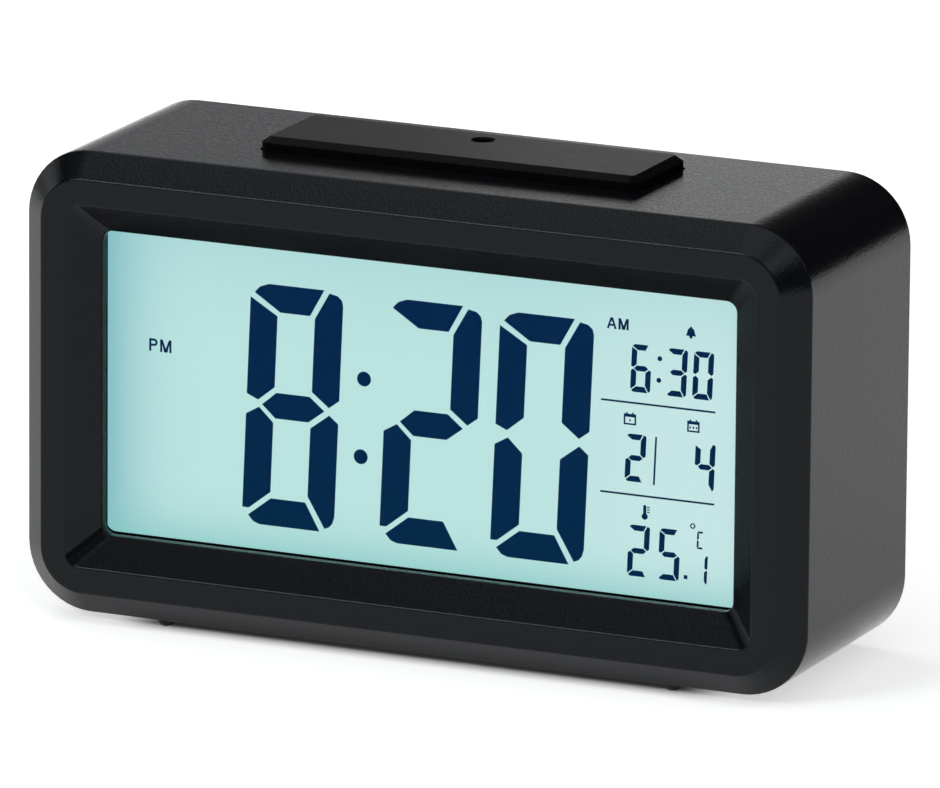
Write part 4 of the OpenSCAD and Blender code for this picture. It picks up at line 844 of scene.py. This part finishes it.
def arrow_mark(x, z, up_or_down):
    """A low triangle that points up (1) or down (-1)."""
    piece = begin("arrow_mark")
    middle = place(x, (MARK_LOW + MARK_HIGH) / 2, z)
    thick = (MARK_HIGH - MARK_LOW) * MM
    bpy.ops.mesh.primitive_cylinder_add(
        vertices=3, radius=1.5 * MM, depth=thick, location=middle, rotation=(math.pi / 2, 0, 0)
    )
    form = bmesh.from_edit_mesh(piece.data)
    tip = max(form.verts, key=lambda v: abs(v.co.z - middle.z))
    if (tip.co.z - middle.z) * up_or_down < 0:
        bpy.ops.transform.rotate(value=math.pi, orient_axis="Y", center_override=middle)
    finish_form()
    marks.append(piece)


def word_mark(word, x, z, size):
    """A low word that reads from behind."""
    bpy.ops.object.select_all(action="DESELECT")
    bpy.ops.object.text_add()
    piece = bpy.context.active_object
    piece.data.body = word
    piece.data.size = size * MM
    piece.data.extrude = (MARK_HIGH - MARK_LOW) / 2 * MM
    piece.data.align_x = "CENTER"
    piece.data.align_y = "CENTER"
    piece.data.resolution_u = 3
    bpy.ops.object.convert(target="MESH")
    piece.rotation_euler = (math.pi / 2, 0, math.pi)
    piece.location = place(x, (MARK_LOW + MARK_HIGH) / 2, z)
    bpy.ops.object.transform_apply(location=True, rotation=True, scale=True)
    bpy.ops.object.mode_set(mode="EDIT")
    finish_form()
    marks.append(piece)


print("arrows and words ready")

# %% Marks in place
SWITCH_MARK_Z = 64.2
WORD_Z = 54.2
clock_x, bell_x, up_x, down_x, warm_x = BUTTON_X
rim = [(1.5, MARK_LOW), (1.5, MARK_HIGH), (1.2, MARK_HIGH + 0.01), (1.2, MARK_LOW + 0.01)]
ring = begin("clock_ring")
for radius, depth in rim:
    disc(radius, place(clock_x, depth, MARK_Z), "front", 32)
bridge(ring, 0, 3, 32, closed=True)
finish_form()
marks.append(ring)
bar_mark(clock_x, MARK_Z + 0.4, 0.28, 0.9)
bar_mark(clock_x - 0.3, MARK_Z, 0.8, 0.28)
for x, z in ((bell_x, MARK_Z), (-SWITCH_X, SWITCH_MARK_Z)):
    bell_mark(x, z)
arrow_mark(up_x, MARK_Z - 0.2, 1)
arrow_mark(down_x, MARK_Z + 0.2, -1)
bar_mark(warm_x, MARK_Z + 0.3, 0.55, 2.2)
dot(warm_x, MARK_Z - 0.9, 0.65, 24, MARK_HIGH + 0.03)
for i in (0, 1, 2):
    bar_mark(warm_x + 0.75, MARK_Z + 1.1 - 0.55 * i, 0.5, 0.18)
dot(SWITCH_X, SWITCH_MARK_Z, 0.75)
for i in range(8):
    angle = math.radians(45 * i)
    x = SWITCH_X + 1.35 * math.cos(angle)
    dot(x, SWITCH_MARK_Z + 1.35 * math.sin(angle), 0.2, 12)
for x in (-SWITCH_X, SWITCH_X):
    word_mark("ON", x - 3.1, WORD_Z, 2.2)
    word_mark("OFF", x + 3.1, WORD_Z, 2.2)
rear_marks = join(marks, "rear_marks")
print("faces in the marks:", len(rear_marks.data.polygons))

# %% [markdown]
# ## The battery door
# The door is pushed down by its latch tongue and tilts out on two tabs at its lower edge. Two slits
# free the tongue so that it can spring, and three grooves give the fingertip its grip. A printed
# triangle points the way to press. It moves with the door, so it is a piece apart from the others.

# %% Battery door
INTO_DOOR = 40.3
door = slab("door", 52.3, 36.1, 1.25, SEAT, COVER_REAR, 0, BOX_MID)
soften(door, 0.12, 40, 2)
for x in (-6.35, 6.35):
    cut(door, slab("slit", 0.7, 8.0, 0.2, 39.0, PAST_REAR, x, 40.25))
for i in range(3):
    cut(door, slab("groove", 9.0, 0.8, 0.3, 41.2, PAST_REAR, 0, 41.75 - 1.6 * i))
cut(door, slab("latch_leg", 10.0, 0.8, 0.2, FLANGE_FRONT, INTO_DOOR, 0, 41.2), "UNION")
for x in (-TAB_X, TAB_X):
    cut(door, slab("tab", 6.0, 0.8, 0.2, FLANGE_FRONT, INTO_DOOR, x, 9.0), "UNION")
    cut(door, slab("hook", 6.0, 1.2, 0.2, FLANGE_FRONT, FLANGE_REAR, x, 8.2), "UNION")
merge(door, 0.001)
smooth(door)
dress(door, cover_black, "door", "door_shell", "battery_door")
arrow_mark(0, 33.6, -1)
door_mark = marks.pop()
door_mark.name = "door_mark"
print("door faces:", len(door.data.polygons))

# %% [markdown]
# ## Buttons and slide switches
# The five buttons are alike: a round cap with a shallow dish for the fingertip and a flange inside
# the cover. One is modelled and copied, each copy with its own mesh, so that each can be pressed by
# itself. The two slide knobs are small square posts with three grooves, on plates that hide inside
# the cover. Both rest 2 mm to one side of the middle of their slots.

# %% Buttons
KEYS = ["time_set", "alarm_set", "up", "down", "temp_unit"]
button_shape = [
    (4.65, FLANGE_FRONT),
    (4.65, FLANGE_REAR),
    (3.75, FLANGE_REAR + 0.02),
    (3.75, 42.6),
    (2.9, 42.58),
    (1.5, 42.46),
]
first = drum("first_button", 0, KEY_Z, button_shape)
soften(first, 0.25, 40, 3)
for key, x in zip(KEYS, BUTTON_X):
    cap_piece = new_object(key + "_cap", first.data.copy())
    activate(cap_piece)
    bpy.ops.object.mode_set(mode="EDIT")
    bpy.ops.mesh.select_all(action="SELECT")
    bpy.ops.transform.translate(value=(x * MM, 0, 0))
    bpy.ops.object.mode_set(mode="OBJECT")
    smooth(cap_piece)
    dress(cap_piece, button_black, key, "buttons", key + "_button")
bpy.data.objects.remove(first)
print("buttons:", KEYS)

# %% Slide knobs
OFF_MIDDLE = 2.0
for body, x in (("light_switch", SWITCH_X - OFF_MIDDLE), ("alarm_switch", -SWITCH_X - OFF_MIDDLE)):
    knob = slab(body + "_knob_piece", 13.0, 6.6, 0.3, FLANGE_FRONT, FLANGE_REAR, x, KEY_Z)
    cut(knob, slab("post", 3.6, 3.6, 0.4, 38.2, 42.8, x, KEY_Z), "UNION")
    soften(knob, 0.1, 40, 2)
    cut(knob, slab("pin", 1.4, 1.4, 0.1, 36.2, 38.2, x, KEY_Z), "UNION")
    for i in (-1, 0, 1):
        cut(knob, slab("groove", 0.4, 6.0, 0.1, 42.4, 44.0, x + 1.1 * i, KEY_Z))
    merge(knob)
    smooth(knob)
    dress(knob, button_black, body, "knobs", body + "_knob")
print("slide knobs ready")

# %% [markdown]
# ## The lit display
# Behind the window lies a liquid crystal panel. White light from the edge-lit guide leaves the rear
# glass tinted cyan by the polarisers. It is a little bluer near the left edge, greener along the
# bottom and dimmer towards the top and the right edge. The dark segments block it. They aren't pure
# black: they pass some blue. The glow is Emission, because a display makes its own light.

# %% Glow
glow = Finish("display_glow")
across, depth, height = glow.axes()
clouds = glow.noise(0.02, 1)
to_right = glow.fade(across, 10, 46) + (clouds - 0.5) * 0.15
pale = glow.mix(to_right, (0.497, 0.77, 0.745), (0.56, 0.79, 0.78))
left_edge = glow.ramp(across, -36.0, -54.65) ** 3 * 0.85
low_edge = glow.ramp(height, 24.0, 14.0) ** 2.2 * 0.6
far_edge = glow.ramp(height, 44.0, 64.0) ** 2 * 0.26 + glow.ramp(across, 50.6, 54.65) ** 2 * 0.3
tint = glow.mix(left_edge, pale, (0.22, 0.51, 0.56))
tint = glow.mix(low_edge, tint, (0.22, 0.56, 0.54))
tint = glow.mix(far_edge, tint, (0.22, 0.51, 0.56))
beyond_x = glow.ramp(abs(across), 54.0, 64.0) * 10
beyond_z = glow.ramp(abs(height - 38.85), 23.2, 33.2) * 10
border = glow.fade((beyond_x * beyond_x + beyond_z * beyond_z) ** 0.5, 1.85, 1.95)
tint = glow.mix(border, tint, (0.0, 0.0, 0.0))
glow.set(base_color=(0.01, 0.012, 0.012), roughness=0.6, specular=0.1)
glow.set(emission_color=tint, emission_strength=1.07)
paint(glow, "lcd_rear_glass")
print("glow ready")

# %% Ink and clear sheets
ink = Finish("segment_ink")
height = ink.axes()[2]
# The emission is backlight that the dark segments let through. It is a little bluer towards the top.
passed_backlight = ink.mix(ink.fade(height, 20, 60), (0.0, 0.021, 0.07), (0.0002, 0.019, 0.074))
ink.set(base_color=(0.001, 0.002, 0.004), roughness=0.6, specular=0.1)
ink.set(emission_color=passed_backlight, emission_strength=1.0)

clear_sheet = Finish("clear_sheet")
clear_sheet.set(base_color=(0.004, 0.005, 0.005), roughness=clear_sheet.noise(0.1) * 0.1 + 0.3)
clear_sheet.set(alpha=0.004)
paint(clear_sheet, "lcd_front_glass")

polariser = Finish("polariser")
facing = polariser.node("ShaderNodeLayerWeight", None, {"Blend": 0.5}, "Facing")
polariser.set(base_color=(0.002, 0.003, 0.003), roughness=polariser.noise(0.1) * 0.1 + 0.3)
polariser.set(alpha=facing ** 2.5 * 0.9, specular=0.1)
paint(polariser, "lcd_front_polariser")

window_clear = Finish("window_clear")
window_clear.set(base_color=(0.004, 0.005, 0.005), roughness=window_clear.noise(0.05) * 0.02 + 0.08)
window_clear.set(alpha=0.03, ior=1.49)
paint(window_clear, "display_window", "sensor_window")
print("ink and clear sheets ready")

# %% [markdown]
# ## The digits
# The model's segments fill the gap between the two glasses exactly, and two faces in one plane
# flicker, because a ray can't tell which of them comes first. So the digits are a copy of that node,
# with its loose triangles merged, made a little thinner about the middle of the gap.

# %% Digits
SEGMENT_MID = (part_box("lcd_segments")[0][1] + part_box("lcd_segments")[1][1]) / 2
THINNER = 0.5
digits = new_object("digits", nodes["lcd_segments"].data.copy())
activate(digits)
bpy.ops.object.mode_set(mode="EDIT")
bpy.ops.mesh.select_all(action="SELECT")
bpy.ops.transform.resize(value=(1, THINNER, 1), center_override=(0, SEGMENT_MID, 0))
finish_form()
dress(digits, ink, "clock", "segments", "lcd_segments")
print("faces in the digits:", len(digits.data.polygons))

# %% [markdown]
# ## Plain plastics, rubber and foam
# Inside the clock are white frames and plungers, dark switch bodies and a soft gasket. Unpainted
# plastic shows where it flowed in the mould as a slightly uneven tone, and its skin is a little
# rough. The printed marks are a thick, slightly rough paint, and the same recipe suits them. Foam is
# different: its skin is open cells, so it gets a pattern of cell bumps instead, with painted shade
# that darkens the middle of each open cell.

# %% Moulded parts


def moulded(name, colour, roughness, uneven=0.15, skin_depth=0.01):
    """Plastic or rubber straight from the mould."""
    finish = Finish(name)
    flow = finish.noise(0.08, 3, 0.5, finish.spot((0.2, 0.1, 0.3), (1, 2, 1)))
    skin = finish.noise(2.5, 2)
    thin = tuple((1 - uneven) * c for c in colour)
    finish.set(base_color=finish.mix(flow, thin, colour), roughness=roughness + (skin - 0.5) * 0.15)
    finish.set(specular=0.4, normal=finish.bump(skin, 0.6, skin_depth))
    return finish


PLUNGERS = [key + "_plunger" for key in KEYS]
paint(moulded("foot_rubber", (0.014, 0.014, 0.015), 0.75, 0.3, 0.03), "rubber_feet")
paint(moulded("white_frame", (0.78, 0.78, 0.75), 0.45), "lcd_frame", "ribbon_headers")
paint(moulded("white_nylon", (0.72, 0.72, 0.68), 0.35), "snooze_plungers", *PLUNGERS)
paint(moulded("buzzer_case", (0.012, 0.012, 0.013), 0.4), "buzzer")
mark_print = moulded("mark_print", (0.42, 0.42, 0.41), 0.5, 0.25, 0.004)
dress(rear_marks, mark_print, "clock", "rear_shell")
dress(door_mark, mark_print, "door", "door_shell")

foam = Finish("foam")
cells = foam.node("ShaderNodeTexVoronoi", None, {"Vector": foam.spot(), "Scale": 2.2}, "Distance")
# Painted shade: the colour is darker in the middle of each open cell, where the pore is.
foam.set(base_color=foam.mix(cells, (0.006, 0.006, 0.006), (0.03, 0.03, 0.03)), roughness=0.95)
foam.set(specular=0.1, normal=foam.bump(cells, 1.0, 0.15))
paint(foam, "window_gasket")
print("moulded parts painted:", len(painted))

# %% [markdown]
# ## Metals
# Screws, springs and contacts are plated. Plating is even, but handling and drawing leave faint
# lines and dull patches, which show in the roughness more than in the colour.

# %% Plated parts


def plated(name, colour, roughness, drawn=(1, 1, 1)):
    """Plated metal. drawn squeezes the fine lines along the direction the metal was drawn in."""
    finish = Finish(name)
    lines = finish.noise(2.0, 3, 0.6, finish.spot((0, 0, 0), drawn))
    dull = finish.noise(0.2, 2)
    tone = finish.mix(dull, tuple(0.8 * c for c in colour), colour)
    finish.set(base_color=tone, metallic=1.0)
    finish.set(roughness=roughness + (lines - 0.5) * 0.2 + dull * 0.1)
    finish.set(normal=finish.bump(lines, 0.5, 0.008))
    return finish


black_zinc = plated("black_zinc", (0.2, 0.2, 0.21), 0.34)
paint(black_zinc, "housing_screws", "board_screws", "frame_screws")
nickel = plated("nickel", (0.66, 0.64, 0.58), 0.22)
paint(nickel, "positive_contact", "negative_contact", "bridge_contacts")
spring_steel = plated("spring_steel", (0.55, 0.55, 0.54), 0.3, (1, 1, 0.2))
dress(springs, spring_steel, "clock", "contact_metal", "snooze_springs")
bottom = place(0, 0, COIL_LOW - WIRE_R)
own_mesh(springs)
paint(plated("tin_shell", (0.7, 0.7, 0.69), 0.35, (0.2, 1, 1)), "slide_switch_bodies", "crystal")
print("with metals painted:", len(painted))

# %% [markdown]
# ## Circuit boards and their components
# A board is green lacquer over copper. Where a track runs under the lacquer the green is lighter,
# and round bare pads are tinned. Tracks run one way in some places and across in others, so a
# cloudy mask picks between two sets of lines.

# %% Boards


def board_finish(name, first, second):
    """Green board. first and second are the axes of its plane: 0 across, 1 depth, 2 height."""
    finish = Finish(name)
    spots = finish.axes()
    a, b = spots[first], spots[second]
    field = finish.noise(0.12, 0, 0.5) > 0.5
    tracks = finish.stripe(a, 1.27, 0.4) * field + finish.stripe(b, 1.27, 0.4) * (1 - field)
    step_a = finish.sum_of("PINGPONG", a, 1.27)
    step_b = finish.sum_of("PINGPONG", b, 1.27)
    pads = ((step_a * step_a + step_b * step_b) ** 0.5 < 0.36) * (finish.noise(0.3, 1) > 0.56)
    green = finish.mix(tracks * 0.8, (0.006, 0.07, 0.022), (0.02, 0.16, 0.05))
    finish.set(base_color=finish.mix(pads, green, (0.62, 0.6, 0.55)), metallic=pads)
    finish.set(roughness=finish.noise(0.5) * 0.15 + 0.25, normal=finish.bump(tracks, 0.5, 0.035))
    return finish


upright_board = board_finish("upright_board", 0, 2)
paint(upright_board, "main_board", "key_board")
paint(board_finish("flat_board", 0, 1), "snooze_board")
print("boards painted")

# %% Components
chip = moulded("chip_epoxy", (0.012, 0.012, 0.013), 0.5)
paint(chip, "controller_chip")


def two_tone(name, choose_second, first, second, metal_first=0.0, metal_second=0.0, roughness=0.4):
    """A part of two materials. choose_second takes the three axes and gives 0 or 1."""
    finish = Finish(name)
    mask = choose_second(finish, *finish.axes())
    tone = finish.noise(0.4, 2)
    pale = finish.mix(tone, tuple(0.85 * c for c in first), first)
    finish.set(base_color=finish.mix(mask, pale, second), roughness=tone * 0.1 + roughness)
    finish.set(metallic=mask * (metal_second - metal_first) + metal_first)
    finish.set(normal=finish.bump(finish.noise(2.0, 2), 0.4, 0.008))
    return finish


print("two-tone recipe ready")

# %% Parts of two materials
SILVER = (0.7, 0.7, 0.68)
DARK = (0.015, 0.015, 0.016)
NAVY = (0.01, 0.02, 0.05)
LEG_TOP = 49.2
SEAM = 0.4
can = two_tone("capacitor_sleeve", lambda f, x, y, z: y > -2.3, NAVY, SILVER, 0, 1, 0.3)
paint(can, "capacitors")
tact = two_tone("tact_switch", lambda f, x, y, z: f.stripe(y - 14.3, 20, SEAM), DARK, SILVER, 0, 1)
paint(tact, "tact_switches")
push = two_tone("push_switch", lambda f, x, y, z: f.stripe(z - 69.3, 20, SEAM), DARK, SILVER, 0, 1)
paint(push, "snooze_switches")
bead = two_tone("sensor_bead", lambda f, x, y, z: z > LEG_TOP, (0.01, 0.02, 0.03), SILVER, 0, 1, 0.2)
paint(bead, "temp_sensor")
led = two_tone("led_package", lambda f, x, y, z: x > -55.5, (0.8, 0.79, 0.75), (0.78, 0.55, 0.08))
paint(led, "backlight_leds")


def serpentine(finish, across, depth, height):
    """The winding track on the face of a light sensor."""
    turns = finish.sum_of("PINGPONG", across + 10, 0.5) * 12 - 3
    held = finish.node("ShaderNodeClamp", None, {"Value": turns, "Min": -1.0, "Max": 1.0})
    return (abs(depth + 14.4 - 21.8 - held * 1.4) < 0.22) * (height > 74.5)


sensor = two_tone("sensor_ceramic", serpentine, (0.72, 0.66, 0.5), (0.5, 0.1, 0.02), 0, 0, 0.35)
paint(sensor, "light_sensor")
print("components painted:", len(painted))

# %% [markdown]
# ## Wires, ribbons and the rubber connector
# The battery leads are red and black. The flat ribbons show their wires as darker lines. The display
# gets its signals through a rubber strip of thin layers, in turn conducting and not.

# %% Wires and ribbons
RED = (0.42, 0.012, 0.01)
BLACK = (0.01, 0.01, 0.011)
lead = two_tone("lead_sleeve", lambda f, x, y, z: x > 0, BLACK, RED, roughness=0.3)
paint(lead, "battery_wires")
thin = two_tone("thin_sleeve", lambda f, x, y, z: x > 45.5, BLACK, RED, roughness=0.3)
paint(thin, "buzzer_wires")
FILM = (0.74, 0.74, 0.7)
CORE = (0.45, 0.4, 0.33)
film = two_tone("ribbon_film", lambda f, x, y, z: f.stripe(x, 1.0, 0.45), FILM, CORE)
paint(film, "key_ribbon", "snooze_ribbon")
RUBBER = (0.5, 0.3, 0.28)
CARBON = (0.012, 0.012, 0.012)
zebra = two_tone("layered_rubber", lambda f, x, y, z: f.stripe(x, 0.36, 0.18), RUBBER, CARBON)
paint(zebra, "zebra_strip")
print("wires painted:", len(painted))

# %% [markdown]
# ## Battery cells
# The three cells lie with their ends in turn left and right. A printed sleeve covers the can, and
# only the ends are bare metal. The sleeve here is plain blue and grey with one silver band.

# %% Cells


def cell_finish(name, way):
    """Sleeve and ends of a cell. Its raised end is at the right (way 1) or the left (way -1)."""
    finish = Finish(name)
    along = finish.axes()[0] * way
    ends = (along > 23.1) + (along < -19.7)
    band = (along > 10.5) * (along < 12.0)
    sleeve = finish.mix(along > 12.0, (0.015, 0.04, 0.16), (0.32, 0.33, 0.35))
    sleeve = finish.mix(band, sleeve, (0.6, 0.6, 0.62))
    scuff = finish.noise(0.6, 4, 0.7, finish.spot((0, 0, 0), (0.3, 1, 1)))
    finish.set(base_color=finish.mix(ends, sleeve, (0.66, 0.66, 0.64)), metallic=ends)
    finish.set(roughness=scuff * 0.2 + 0.2, normal=finish.bump(scuff, 0.3, 0.01))
    return finish


paint(cell_finish("cell_right", 1), "aaa_cell_1", "aaa_cell_3")
paint(cell_finish("cell_left", -1), "aaa_cell_2")
print("cells painted:", len(painted))

# %% [markdown]
# ## Behind the display
# The light guide is clear acrylic. White dots printed on its back let the light out, and they grow
# with the distance from the lamps at its left edge, so that the whole picture is evenly bright. A
# white film behind it sends back what would be lost.

# %% Light guide and films
guide = Finish("light_guide")
across, depth, height = guide.axes()
step_x = guide.sum_of("PINGPONG", across, 0.6)
step_z = guide.sum_of("PINGPONG", height, 0.6)
growth = guide.ramp(across, -56.0, 56.0) * 0.3 + 0.12
dots = (step_x * step_x + step_z * step_z) ** 0.5 < growth
guide.set(base_color=guide.mix(dots, (0.75, 0.82, 0.82), (0.9, 0.9, 0.9)))
guide.set(alpha=dots * 0.6 + 0.3, roughness=dots * 0.5 + 0.08, ior=1.49)
paint(guide, "light_guide")
paint(moulded("white_film", (0.86, 0.86, 0.86), 0.3, 0.05, 0.003), "reflector_film")

rear_sheet = Finish("rear_polariser")
haze = rear_sheet.noise(0.3, 2)
rear_sheet.set(base_color=rear_sheet.mix(haze, (0.02, 0.03, 0.03), (0.04, 0.05, 0.05)))
rear_sheet.set(roughness=haze * 0.1 + 0.2)
paint(rear_sheet, "lcd_rear_polariser")
print("parts without a finish:", [name for name in nodes if name not in painted])

# %% [markdown]
# ## The floor
# The clock stands on a plain pale floor, wide enough to fill the picture. A photographer lights such
# a floor until it is pure white, so it glows a little here too. Right under the clock no light would
# reach it, so the glow fades out there.

# %% Floor
bpy.ops.object.select_all(action="DESELECT")
bpy.ops.mesh.primitive_plane_add(size=12, location=(0, 0, 0))
floor = bpy.context.active_object
floor.name = "floor"
floor_white = Finish("floor_white")
across, depth, height = floor_white.axes()
shade = floor_white.mix(floor_white.noise(0.002), (0.86, 0.86, 0.86), (0.9, 0.9, 0.9))
under_x = floor_white.fade(abs(across), 44, 55, 1.0, 0.0)
under = under_x * floor_white.fade(abs(depth), 15, 21, 1.0, 0.0)
lit = floor_white.mix(under, shade, (0.02, 0.02, 0.02))
floor_white.set(base_color=shade, roughness=0.7, specular=0.2, emission_color=lit)
floor_white.set(emission_strength=0.66)
paint(floor_white, floor)
print("floor ready")
